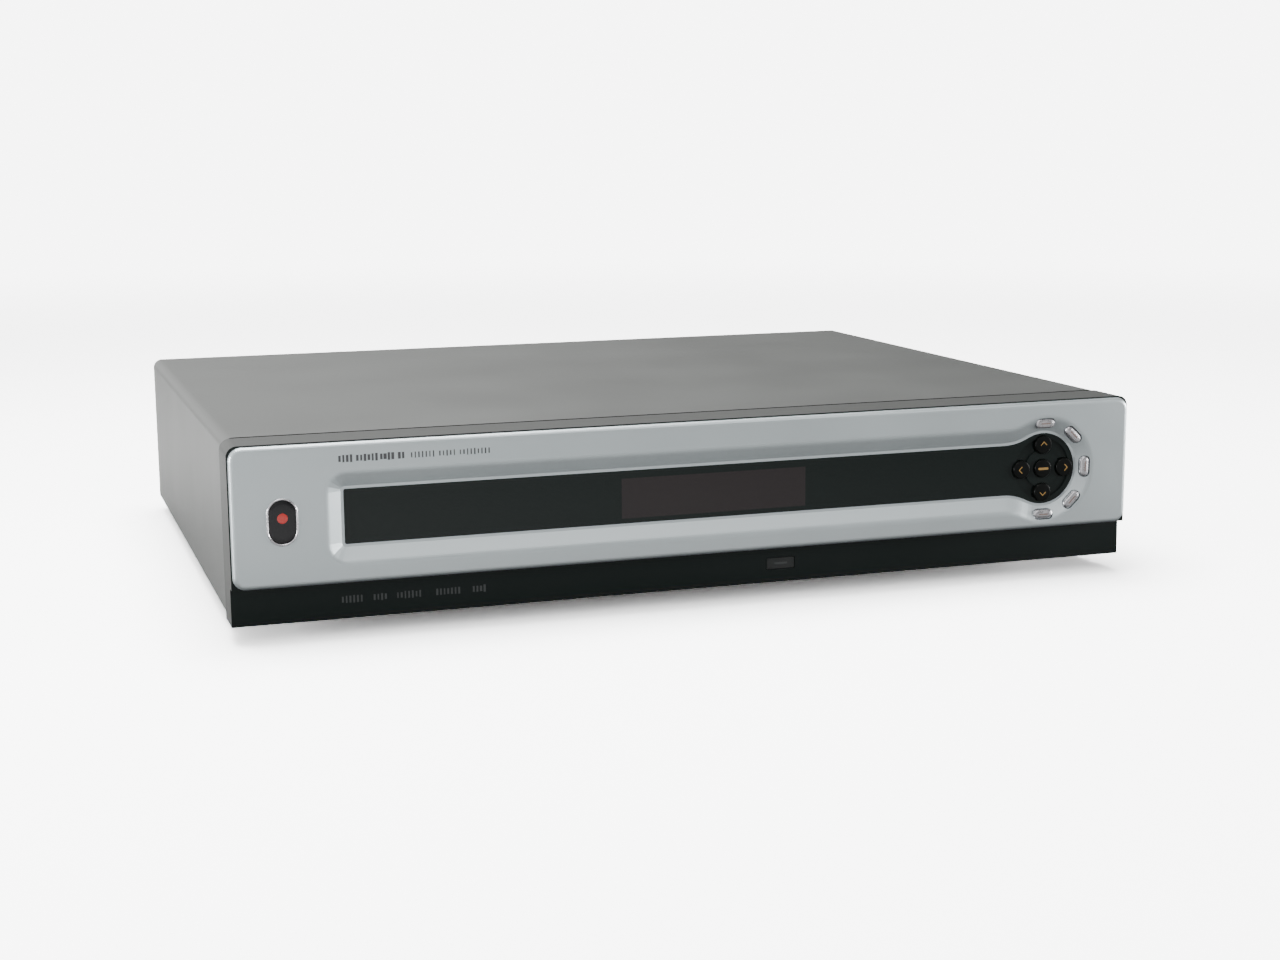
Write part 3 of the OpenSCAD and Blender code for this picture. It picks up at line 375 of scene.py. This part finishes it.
black_plastic = plastic("black_plastic", (0.02, 0.02, 0.021), 0.5, 1500, 0.00006)
key_black = plastic("key_black", (0.003, 0.0035, 0.0032), 0.3, specular=0.12)
plinth_key_black = plastic("plinth_key_black", (0.014, 0.016, 0.0155), 0.35)
badge_enamel = plastic("badge_enamel", (0.006, 0.006, 0.007), 0.12, coat=0.3, specular=0.3)
rubber = plastic("foot_rubber", (0.018, 0.018, 0.018), 0.75, 900, 0.0001)
fan_plastic = plastic("fan_plastic", (0.022, 0.022, 0.024), 0.42)
chip_epoxy = plastic("chip_epoxy", (0.02, 0.02, 0.022), 0.6, 2500, 0.00004)
sleeve_blue = plastic("capacitor_sleeve", (0.02, 0.025, 0.09), 0.3)
print_amber = plastic("print_amber", (0.25, 0.14, 0.03), 0.5)
print_brown = plastic("print_brown", (0.17, 0.125, 0.115), 0.5)
print_dark = plastic("print_dark", (0.05, 0.052, 0.055), 0.5)
print_faint = plastic("print_faint", (0.03, 0.034, 0.034), 0.5)
label_paper = plastic("label_paper", (0.72, 0.72, 0.7), 0.5)
enamel_red = plastic("enamel_red", (0.38, 0.02, 0.015), 0.15, coat=0.6)
jack_red = plastic("jack_red", (0.5, 0.02, 0.018), 0.35)
jack_white = plastic("jack_white", (0.75, 0.75, 0.72), 0.35)
jack_yellow = plastic("jack_yellow", (0.75, 0.5, 0.03), 0.35)
jack_green = plastic("jack_green", (0.03, 0.28, 0.07), 0.35)
jack_blue = plastic("jack_blue", (0.02, 0.08, 0.4), 0.35)
ribbon_grey = plastic("ribbon_grey", (0.42, 0.42, 0.44), 0.45)
cable_red = plastic("cable_red", (0.4, 0.03, 0.025), 0.4)
lead_yellow = plastic("lead_yellow", (0.55, 0.4, 0.05), 0.4)

# %% Smoked window
# The window is glossy black acrylic. A faint brown patch, softly edged, is the sleeping
# display behind it.
WINDOW_BLACK, DISPLAY_BROWN = (0.007, 0.0104, 0.0095), (0.021, 0.0178, 0.0182)
DISPLAY_X, DISPLAY_Z = (-0.0406, 0.0459), (0.0429, 0.0606)
window_black = finish("window_black", WINDOW_BLACK, 0.1, specular=0.28)
patch = both(window_black,
             step_at(window_black, "X", DISPLAY_X[0], 0.0003),
             step_at(window_black, "X", DISPLAY_X[1], 0.0003, above=False),
             step_at(window_black, "Z", DISPLAY_Z[0], 0.0003),
             step_at(window_black, "Z", DISPLAY_Z[1], 0.0003, above=False))
mottled(window_black, patch, WINDOW_BLACK, DISPLAY_BROWN)
rough_by(window_black, ramp(window_black, noise(window_black, 60, 2), 0.08, 0.13))
print("display patch", [round((b - a) / MM, 1) for a, b in (DISPLAY_X, DISPLAY_Z)], "mm")

# %% Metals
def metal(name, colour, roughness, grain=(1, 1, 1), scale=400, depth=0.00003):
    mat = finish(name, colour, roughness, metallic=1.0)
    spread = roughness * 0.25
    rough_by(mat, ramp(mat, noise(mat, scale, 3, grain), roughness - spread, roughness + spread))
    bumped(mat, noise(mat, scale * 2, 2, grain), depth, 0.25)
    return mat


zinc_sheet = metal("zinc_sheet", (0.6, 0.61, 0.62), 0.38, scale=180)
panel_zinc = metal("panel_zinc", (0.6, 0.61, 0.62), 0.4, (0.15, 1, 1), 600)
steel_screw = metal("steel_screw", (0.55, 0.55, 0.57), 0.32)
tinned = metal("tinned", (0.7, 0.7, 0.69), 0.33, scale=120)
nickel = metal("nickel", (0.72, 0.7, 0.66), 0.22)
silver_plating = metal("silver_plating", (0.62, 0.61, 0.63), 0.3, scale=700)
drawn_aluminium = metal("drawn_aluminium", (0.66, 0.67, 0.68), 0.35, (1, 0.05, 1), 900)
cast_alloy = metal("cast_alloy", (0.42, 0.43, 0.44), 0.5, scale=500, depth=0.0001)
drive_steel = metal("drive_steel", (0.62, 0.63, 0.64), 0.3, (1, 0.06, 1), 900)
platter_mirror = metal("platter_mirror", (0.82, 0.83, 0.85), 0.05, scale=60, depth=0.000001)

# %% Boards and windings
solder_mask = finish("solder_mask", (0.02, 0.15, 0.05), 0.35, coat=0.3)
mottled(solder_mask, ramp(solder_mask, noise(solder_mask, 260, 5, (1, 1, 0.1)), 0, 1, 0.48, 0.56),
        (0.018, 0.13, 0.045), (0.03, 0.2, 0.075))
phenolic = finish("phenolic", (0.36, 0.22, 0.07), 0.55)
mottled(phenolic, ramp(phenolic, noise(phenolic, 500, 4), 0, 1), (0.33, 0.2, 0.06), (0.42, 0.27, 0.1))
winding_tape = finish("winding_tape", (0.5, 0.36, 0.04), 0.4)
rough_by(winding_tape, ramp(winding_tape, noise(winding_tape, 90, 2, (1, 1, 8)), 0.3, 0.5))
display_glass = finish("display_glass", (0.06, 0.045, 0.043), 0.15, specular=0.6)
rough_by(display_glass, ramp(display_glass, noise(display_glass, 200, 2), 0.12, 0.2))
print("materials", len(bpy.data.materials))

# %% Dress the CAD solids
DRESS = {
    "front_bezel": bezel_paint, "face_plate": plate_paint, "display_window": window_black,
    "key_guide": black_plastic, "plinth_button": plinth_key_black, "badge": badge_enamel,
    "display_module": display_glass, "front_board": solder_mask, "key_switches": black_plastic,
    "top_cover": cover_paint, "chassis_base": zinc_sheet, "rear_panel": panel_zinc,
    "feet": rubber, "foot_screws": steel_screw, "rear_screws": steel_screw,
    "inner_screws": steel_screw, "main_board": solder_mask, "main_chips": chip_epoxy,
    "heat_sink": drawn_aluminium, "capacitors": sleeve_blue, "tuner_cans": tinned,
    "coax_sockets": nickel, "card_cage": tinned, "hdmi_socket": nickel, "usb_sockets": nickel,
    "modular_sockets": nickel, "jack_block": black_plastic, "jack_shells": nickel,
    "red_inserts": jack_red, "white_inserts": jack_white, "yellow_inserts": jack_yellow,
    "green_insert": jack_green, "blue_insert": jack_blue, "s_video_socket": black_plastic,
    "control_jacks": black_plastic, "power_inlet": black_plastic, "power_board": phenolic,
    "transformer": winding_tape, "power_heat_sinks": drawn_aluminium, "fan_frame": fan_plastic,
    "fan_rotor": fan_plastic, "drive_case": cast_alloy, "drive_lid": drive_steel,
    "drive_platters": platter_mirror, "drive_arm": drawn_aluminium, "drive_bracket": zinc_sheet,
    "drive_grommets": rubber, "ribbon_cable": ribbon_grey, "drive_cable": cable_red,
    "power_harness": lead_yellow}
ROUND_KEYS = ["up_key", "down_key", "left_key", "right_key", "select_key"]
PILL_KEYS = ["top_pill_key", "upper_pill_key", "side_pill_key", "lower_pill_key", "bottom_pill_key"]
for name in ROUND_KEYS:
    DRESS[name] = key_black
for name in PILL_KEYS:
    DRESS[name] = silver_plating
for name, node in NODES.items():
    node.data.materials.clear()
    node.data.materials.append(DRESS[name])
print("dressed", len(DRESS), "of", len(NODES))

# %% [markdown]
# ## Building pieces
# A printed mark, a rim or a dome is one closed mesh. It is given as a list of loops with
# the same number of points: each loop is joined to the next with quads, and the ends are
# capped. A loop is drawn in the XZ plane, as seen from the front, at a depth Y.

# %% Loops and skins
def add_piece(name, mesh, material, body):
    piece = bpy.data.objects.new(name, mesh)
    bpy.context.scene.collection.objects.link(piece)
    piece.data.materials.clear()
    piece.data.materials.append(material)
    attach(piece, body)
    return piece


def skin_into(bm, loops, ring=False):
    """Joins loops of points into a closed shell, with capped ends or, as a ring, end to end."""
    rows = [[bm.verts.new(p) for p in loop] for loop in loops]
    pairs = list(zip(rows, rows[1:])) + ([(rows[-1], rows[0])] if ring else [])
    for one, two in pairs:
        for i in range(len(one)):
            j = (i + 1) % len(one)
            bm.faces.new((one[i], one[j], two[j], two[i]))
    if not ring:
        bm.faces.new(rows[0])
        bm.faces.new(rows[-1])


def mesh_of(name, bm, smooth_angle=None):
    """Merges doubles, turns the faces outwards and returns a mesh."""
    bmesh.ops.remove_doubles(bm, verts=bm.verts, dist=1e-7)
    bmesh.ops.recalc_face_normals(bm, faces=bm.faces)
    mesh = bpy.data.meshes.new(name)
    if smooth_angle is not None:
        for face in bm.faces:
            face.smooth = True
        for edge in bm.edges:
            if len(edge.link_faces) == 2:
                edge.smooth = edge.calc_face_angle() < smooth_angle
    bm.to_mesh(mesh)
    bm.free()
    return mesh


def upright(outline, x, y, z, turn=0.0):
    """Stands a flat outline up in the XZ plane at depth y, turned by an angle; in mm."""
    c, s = math.cos(turn), math.sin(turn)
    return [Vector((x + u * c - v * s, y, z + u * s + v * c)) * MM for u, v in outline]


def capsule(length, width, inset=0.0, n=10):
    """A pill outline along X, made smaller by inset; in mm."""
    r = width / 2 - inset
    half = (length - width) / 2
    ends = []
    for centre, start in ((half, -90), (-half, 90)):
        ends += [(centre + r * math.cos(math.radians(start + 180 * i / n)),
                  r * math.sin(math.radians(start + 180 * i / n))) for i in range(n + 1)]
    return ends


def disc(radius, n=24):
    return [(radius * math.cos(2 * math.pi * i / n), radius * math.sin(2 * math.pi * i / n))
            for i in range(n)]


def stroke(points, width):
    """The outline of a bent stroke with square ends."""
    left, right = [], []
    for i, p in enumerate(points):
        p = Vector(p)
        before = (p - Vector(points[i - 1])).normalized() if i else None
        after = (Vector(points[i + 1]) - p).normalized() if i < len(points) - 1 else None
        along = ((before or after) + (after or before)).normalized()
        across = Vector((-along.y, along.x))
        reach = width / 2 / max(0.3, across.dot(Vector((-(after or before).y, (after or before).x))))
        left.append(tuple(p + across * reach))
        right.append(tuple(p - across * reach))
    return left + right[::-1]


INK = 0.035


def printed(name, outlines, y, material, body):
    """Flat ink on a surface that faces the viewer at depth y; each outline is one mark."""
    bm = bmesh.new()
    for outline, x, z, turn in outlines:
        skin_into(bm, [upright(outline, x, y - INK, z, turn), upright(outline, x, y + INK, z, turn)])
    return add_piece(name, mesh_of(name, bm), material, body)


print("helpers for pieces ready")

# %% [markdown]
# ## Keys
# Amber arrows are printed on the black keys, a bar on the middle one and a short grey dash
# on each long key. They ride with their keys.

# %% Key prints
DISC_X, WINDOW_Z = 165.6, 52.4
KEY_PITCH, PILL_RING = 11.2, 21.4
ROUND_FRONT, PILL_FRONT, PLINTH_KEY_FRONT = -168.35, -169.7, -162.9
ARROW_OUT = 0.6
ARROW = stroke([(-1.55, -0.7), (0, 0.8), (1.55, -0.7)], 0.42)
for name, (dx, dz) in {"up_key": (0, 1), "left_key": (-1, 0), "down_key": (0, -1),
                       "right_key": (1, 0)}.items():
    turn = math.atan2(dz, dx) - math.pi / 2
    reach = KEY_PITCH + ARROW_OUT
    printed(name + "_arrow", [(ARROW, DISC_X + dx * reach, WINDOW_Z + dz * reach, turn)],
            ROUND_FRONT, print_amber, name)
printed("select_key_bar", [(capsule(5.4, 1.1, n=5), DISC_X, WINDOW_Z, 0)], ROUND_FRONT,
        print_amber, "select_key")
PILL_ANGLES = [90, 46, 0, -46, -90]
for name, angle in zip(PILL_KEYS, PILL_ANGLES):
    a = math.radians(angle)
    printed(name + "_dash", [(capsule(4.9, 0.7, n=4), DISC_X + PILL_RING * math.cos(a),
                              WINDOW_Z + PILL_RING * math.sin(a), a + math.pi / 2)],
            PILL_FRONT, print_brown, name)
printed("plinth_button_dash", [(capsule(6.4, 0.8, n=4), 35.8, 16.5, 0)], PLINTH_KEY_FRONT,
        print_faint, "plinth_button")
print("key prints", 4 + 1 + 5 + 1)

# %% [markdown]
# ## Badge
# A silver rim holds a black enamel field with one red dot, the common sign for recording.
# The rim is a ring of loops whose section is rounded; field and dot are low domes.

# %% Badge
BADGE_X, BADGE_Z, BADGE_FRONT, BADGE_BACK = -188, 52.4, -170.68, -169.6
UPRIGHT_TURN = math.pi / 2


def dome(outline_at, x, z, turn, edge, rise, back, steps=6):
    """Loops of a low dome: straight sides from back to edge, then rising by rise to a point."""
    loops = [upright(outline_at(0), x, back, z, turn)]
    for i in range(steps):
        t = i / steps
        loops.append(upright(outline_at(t), x, edge - rise * math.sqrt(1 - (1 - t) ** 2), z, turn))
    return loops


bm = bmesh.new()
section = [(0.0, BADGE_BACK), (0.0, BADGE_FRONT + 0.35), (0.12, BADGE_FRONT + 0.1), (0.4, BADGE_FRONT),
           (0.68, BADGE_FRONT + 0.1), (0.85, BADGE_FRONT + 0.4), (0.85, BADGE_BACK)]
skin_into(bm, [upright(capsule(20, 13, d, 20), BADGE_X, y, BADGE_Z, UPRIGHT_TURN) for d, y in section],
          ring=True)
add_piece("badge_rim", mesh_of("badge_rim", bm, math.radians(50)), silver_plating, ROOT)
bm = bmesh.new()
skin_into(bm, dome(lambda t: capsule(20, 13, 0.84 + 5.4 * t, 20), BADGE_X, BADGE_Z, UPRIGHT_TURN,
                   BADGE_FRONT + 0.45, 0.3, BADGE_BACK))
field = add_piece("badge_field", mesh_of("badge_field", bm, math.radians(40)), badge_enamel, ROOT)
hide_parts("badge")
bm = bmesh.new()
skin_into(bm, dome(lambda t: disc(2.5 * (1 - t)), BADGE_X, BADGE_Z + 1.6, 0,
                   BADGE_FRONT + 0.25, 0.2, BADGE_FRONT + 0.5))
add_piece("record_dot", mesh_of("record_dot", bm, math.radians(40)), enamel_red, ROOT)
print("badge", 3, "pieces")

# %% [markdown]
# ## Greeked print
# Where a maker prints words, this recorder carries plain ticks, which say nothing but
# keep the grey tone of a line of type. Geometry Nodes set them in rows: a line of points,
# a box on each, its width and height drawn from a fixed seed, then real mesh.

# %% A tree that sets rows of ticks
def socket_of(tree, name, kind, default=None):
    socket = tree.interface.new_socket(name=name, in_out="INPUT", socket_type=kind)
    if default is not None:
        socket.default_value = default
    return socket.identifier


def new_tree(name):
    tree = bpy.data.node_groups.new(name, "GeometryNodeTree")
    tree.interface.new_socket(name="Geometry", in_out="OUTPUT", socket_type="NodeSocketGeometry")
    return tree, tree.nodes.new("NodeGroupInput"), tree.nodes.new("NodeGroupOutput")


def grow(name, tree, values, smooth_angle=None):
    """Runs a tree on an empty object and returns its result as a plain mesh."""
    host = bpy.data.objects.new(name + "_host", bpy.data.meshes.new(name + "_host"))
    bpy.context.scene.collection.objects.link(host)
    modifier = host.modifiers.new("grow", "NODES")
    modifier.node_group = tree
    named = {s.name: s.identifier for s in tree.interface.items_tree if s.in_out == "INPUT"}
    for key, value in values.items():
        modifier[named[key]] = value
    evaluated = host.evaluated_get(bpy.context.evaluated_depsgraph_get())
    mesh = bpy.data.meshes.new_from_object(evaluated)
    mesh.name = name
    host.modifiers.remove(modifier)
    bpy.data.objects.remove(host)
    if smooth_angle is not None:
        mesh.shade_smooth()
    return mesh


def joined(name, meshes):
    """Puts several meshes in one."""
    bm = bmesh.new()
    for mesh in meshes:
        bm.from_mesh(mesh)
    for mesh in meshes:
        bpy.data.meshes.remove(mesh)
    mesh = bpy.data.meshes.new(name)
    bm.to_mesh(mesh)
    bm.free()
    return mesh


ticks, group_in, group_out = new_tree("tick_row")
for name, kind, default in (("Start", "NodeSocketVector", None), ("Step", "NodeSocketVector", None),
                            ("Count", "NodeSocketInt", 6), ("Width", "NodeSocketFloat", 0.001),
                            ("Height", "NodeSocketFloat", 0.0025), ("Depth", "NodeSocketFloat", 0.00007),
                            ("Least", "NodeSocketVector", None), ("Most", "NodeSocketVector", None),
                            ("Seed", "NodeSocketInt", 1), ("Ink", "NodeSocketMaterial", None)):
    socket_of(ticks, name, kind, default)
add, link = ticks.nodes.new, ticks.links.new
line = add("GeometryNodeMeshLine")
link(group_in.outputs["Count"], line.inputs["Count"])
link(group_in.outputs["Start"], line.inputs["Start Location"])
link(group_in.outputs["Step"], line.inputs["Offset"])
box = add("GeometryNodeMeshCube")
place_boxes = add("GeometryNodeInstanceOnPoints")
vary = add("FunctionNodeRandomValue")
vary.data_type = "FLOAT_VECTOR"
link(group_in.outputs["Least"], vary.inputs["Min"])
link(group_in.outputs["Most"], vary.inputs["Max"])
link(group_in.outputs["Seed"], vary.inputs["Seed"])
size = add("ShaderNodeCombineXYZ")
for socket, name in zip(size.inputs, ("Width", "Depth", "Height")):
    link(group_in.outputs[name], socket)
scaled = add("ShaderNodeVectorMath")
scaled.operation = "MULTIPLY"
link(vary.outputs["Value"], scaled.inputs[0])
link(size.outputs["Vector"], scaled.inputs[1])
link(line.outputs["Mesh"], place_boxes.inputs["Points"])
link(box.outputs["Mesh"], place_boxes.inputs["Instance"])
link(scaled.outputs["Vector"], place_boxes.inputs["Scale"])
realize = add("GeometryNodeRealizeInstances")
ink = add("GeometryNodeSetMaterial")
link(place_boxes.outputs["Instances"], realize.inputs["Geometry"])
link(realize.outputs["Geometry"], ink.inputs["Geometry"])
link(group_in.outputs["Ink"], ink.inputs["Material"])
link(ink.outputs["Geometry"], group_out.inputs["Geometry"])
print("tree", ticks.name, "with", len(ticks.nodes), "nodes")

# %% Rows of ticks on the face plate and the plinth
WORD_LEAST, WORD_MOST = (0.72, 1, 0.78), (1.05, 1, 1.1)


def row(name, start, step, count, size, material, least=(1, 1, 1), most=(1, 1, 1), seed=1):
    """One row of small boxes from the tree; lengths in mm."""
    return grow(name, ticks, {
        "Start": [v * MM for v in start], "Step": [v * MM for v in step], "Count": count,
        "Width": size[0] * MM, "Depth": size[1] * MM, "Height": size[2] * MM,
        "Least": least, "Most": most, "Seed": seed, "Ink": material})


def words(name, y, rows, height, material, pitch=1.62):
    """rows holds (start x, z, ticks, boldness); every row is one word."""
    return joined(name, [
        row(f"{name}_{i}", (x, y, z), (pitch, 0, 0), count, (bold, 2 * INK, height), material,
            WORD_LEAST, WORD_MOST, i + 3) for i, (x, z, count, bold) in enumerate(rows)])


PLATE_FRONT, PLINTH_FRONT = -170, -163.1
add_piece("line_above_window", words(
    "line_above_window", PLATE_FRONT,
    [(-163.6, 77.3, 4, 1.1), (-156.2, 77.3, 6, 1.1), (-146.2, 77.3, 4, 1.35), (-138.6, 77.3, 2, 1.15)],
    3.0, print_dark, 1.6), print_dark, ROOT)
add_piece("fine_line_above_window", words(
    "fine_line_above_window", PLATE_FRONT,
    [(-133.4, 77.2, 7, 0.62), (-121.4, 77.2, 5, 0.62), (-112.6, 77.2, 9, 0.62)],
    2.5, print_dark, 1.55), print_dark, ROOT)
add_piece("plinth_marks", words(
    "plinth_marks", PLINTH_FRONT,
    [(-163, 16.2, 6, 0.9), (-149.5, 16.2, 4, 0.9), (-139.5, 16.2, 7, 0.8), (-122.5, 16.2, 7, 0.9),
     (-106.5, 16.2, 4, 1.0)], 3.0, print_faint, 1.6), print_faint, ROOT)
print("greeked rows", 3)

# %% [markdown]
# ## The back
# Legends above the sockets are ticks too, and thin printed frames group the sockets. A
# rating label, blank but for ticks and two bars, sits above the mains inlet.

# %% Frames, legends and the rating label
PANEL_BACK = 159


def box_outline(w, h):
    return [(-w / 2, -h / 2), (w / 2, -h / 2), (w / 2, h / 2), (-w / 2, h / 2)]


def frame_marks(x0, x1, z0, z1, w=0.4):
    """Four strips that frame a group of sockets."""
    cx, cz = (x0 + x1) / 2, (z0 + z1) / 2
    return ([(box_outline(x1 - x0 + w, w), cx, z, 0) for z in (z0, z1)]
            + [(box_outline(w, z1 - z0 - w - 0.1), x, cz, 0) for x in (x0, x1)])


FRAMES = [(53, 99.2, 15.4, 59.6), (104.4, 117.6, 17.4, 55.4), (121.2, 136.8, 18.6, 56.6),
          (-53.4, 29.6, 14.8, 38.4), (142.8, 201.2, 53.6, 74.6)]
marks = [mark for limits in FRAMES for mark in frame_marks(*limits)]
printed("socket_frames", marks, PANEL_BACK, print_dark, ROOT)
LEGENDS = [(x - 3.2, z, 4, 0.6) for x in (60, 76, 92) for z in (30.1, 45.1)]
LEGENDS += [(125, 37.6, 5, 0.65), (125, 58.6, 5, 0.65), (16.4, 28.2, 5, 0.6), (-6.2, 35.8, 4, 0.6),
            (-28, 34.2, 5, 0.6), (-48.4, 33.4, 4, 0.6), (166, 64, 8, 0.65), (-186, 42.6, 7, 0.65)]
add_piece("rear_legends", words("rear_legends", PANEL_BACK, LEGENDS, 1.7, print_dark, 1.5),
          print_dark, ROOT)
LABEL_X, LABEL_Z, LABEL = -172, 60, (46, 22)
bm = bmesh.new()
corner = 1.5
skin_into(bm, [upright([(sx * (LABEL[0] / 2 - corner) + corner * math.cos(math.radians(a)),
                         sz * (LABEL[1] / 2 - corner) + corner * math.sin(math.radians(a)))
                        for sx, sz, first in ((1, 1, 0), (-1, 1, 90), (-1, -1, 180), (1, -1, 270))
                        for a in range(first, first + 91, 15)], LABEL_X, y, LABEL_Z)
                for y in (PANEL_BACK - 0.02, PANEL_BACK + 0.12)])
add_piece("rating_label", mesh_of("rating_label", bm), label_paper, ROOT)
LABEL_FACE = PANEL_BACK + 0.12
LABEL_ROWS = [(LABEL_X - 19, LABEL_Z + 7.6 - 3.1 * i, 9 + (5 * i) % 7, 0.6) for i in range(5)]
LABEL_ROWS += [(LABEL_X + 6, LABEL_Z + 7.6 - 3.1 * i, 5 + (3 * i) % 5, 0.6) for i in range(3)]
add_piece("label_ticks", words("label_ticks", LABEL_FACE, LABEL_ROWS, 1.5, print_dark, 1.2),
          print_dark, ROOT)
printed("label_bars", [(box_outline(14, 4.2), LABEL_X + 12, LABEL_Z - 6.4, 0),
                       (box_outline(18, 0.5), LABEL_X - 11, LABEL_Z - 8.9, 0)],
        LABEL_FACE, print_dark, ROOT)
print("frames", len(FRAMES), "legends", len(LEGENDS))

# %% [markdown]
# The aerial sockets are nickel-plated barrels with a row of thread crests and a hexagon nut.

# %% Threaded aerial sockets
COAX_X, COAX_ZS = 129, (27.1, 48.1)
CREST, ROOT_R, THREAD_PITCH = 4.76, 4.38, 0.8
profile = [(CREST, 157.5), (CREST, 161.5), (ROOT_R, 161.9)]
y = 162.3
while y < 169.9:
    profile += [(CREST, y), (ROOT_R, y + THREAD_PITCH / 2)]
    y += THREAD_PITCH
profile += [(4.3, 170.35), (4.0, 170.7), (1.5, 170.7), (1.0, 170.3), (1.0, 162.8)]
bm = bmesh.new()
for z in COAX_ZS:
    skin_into(bm, [upright(disc(r, 48), COAX_X, y, z) for r, y in profile])
    skin_into(bm, [upright(disc(r, 6), COAX_X, y, z, math.radians(30))
                   for r, y in ((6.6, 159), (6.6, 160.9), (6.15, 161.4))])
threads = add_piece("aerial_barrels", mesh_of("aerial_barrels", bm, math.radians(25)), nickel,
                    ROOT)
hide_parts("coax_sockets")
print("thread turns", sum(1 for r, _ in profile if r == CREST) - 2)

# %% [markdown]
# ## Inside
# The boards carry what a bare solid leaves out: the legs of the chips and the aluminium
# tops of the capacitors.

# %% Chip legs and capacitor tops
BOARD_TOP = 16.6
CHIPS = [(20, 50, 35, 35, 1.0)] + [(x, 20, 20, 20, 0.8) for x in (95, 125, 155)]
CHIPS += [(x, y, 12, 10, 1.27) for x in (-25, 55) for y in (38, 60)] + [(-30, 0, 14, 20, 1.27)]
CHIPS += [(x, -18, 10, 10, 0.8) for x in (0, 24, 48, 72)]
legs = []
for i, (cx, cy, w, d, pitch) in enumerate(CHIPS):
    across_x, across_y = int((w - 2) / pitch), int((d - 2) / pitch)
    for side_sign in (-1, 1):
        legs.append(row(f"legs_{i}_x{side_sign}", (cx - pitch * (across_x - 1) / 2,
                                                  cy + side_sign * (d / 2 + 0.4), BOARD_TOP + 0.25),
                        (pitch, 0, 0), across_x, (pitch * 0.42, 1.0, 0.5), tinned))
        legs.append(row(f"legs_{i}_y{side_sign}", (cx + side_sign * (w / 2 + 0.4),
                                                  cy - pitch * (across_y - 1) / 2, BOARD_TOP + 0.25),
                        (0, pitch, 0), across_y, (1.0, pitch * 0.42, 0.5), tinned))
add_piece("chip_legs", joined("chip_legs", legs), tinned, ROOT)
CANS = [(x, y, 4, 11) for x in (-45, -31, -17, -3) for y in (90, 104)]
CANS += [(x, 50, 3.2, 8) for x in (80, 94, 108, 122)] + [(140, y - 5, 5, 16) for y in (-22, 0, 22)]
CANS += [(x, 58, 11, 30) for x in (-185, -160)]
CANS += [(x, y, 5, 20) for x, y in ((-143, 72), (-155, 77), (-170, 73), (-197, 74))]
bm = bmesh.new()
for x, y, r, h in CANS:
    top = BOARD_TOP + h
    skin_into(bm, [[Vector((x + u, y + v, z)) * MM for u, v in disc(q, 32)]
                   for q, z in ((0.82 * r, top - 0.05), (0.82 * r, top + 0.1), (0.74 * r, top + 0.18))])
add_piece("capacitor_tops", mesh_of("capacitor_tops", bm, math.radians(30)), drawn_aluminium, ROOT)
print("chips", len(CHIPS), "capacitors", len(CANS))
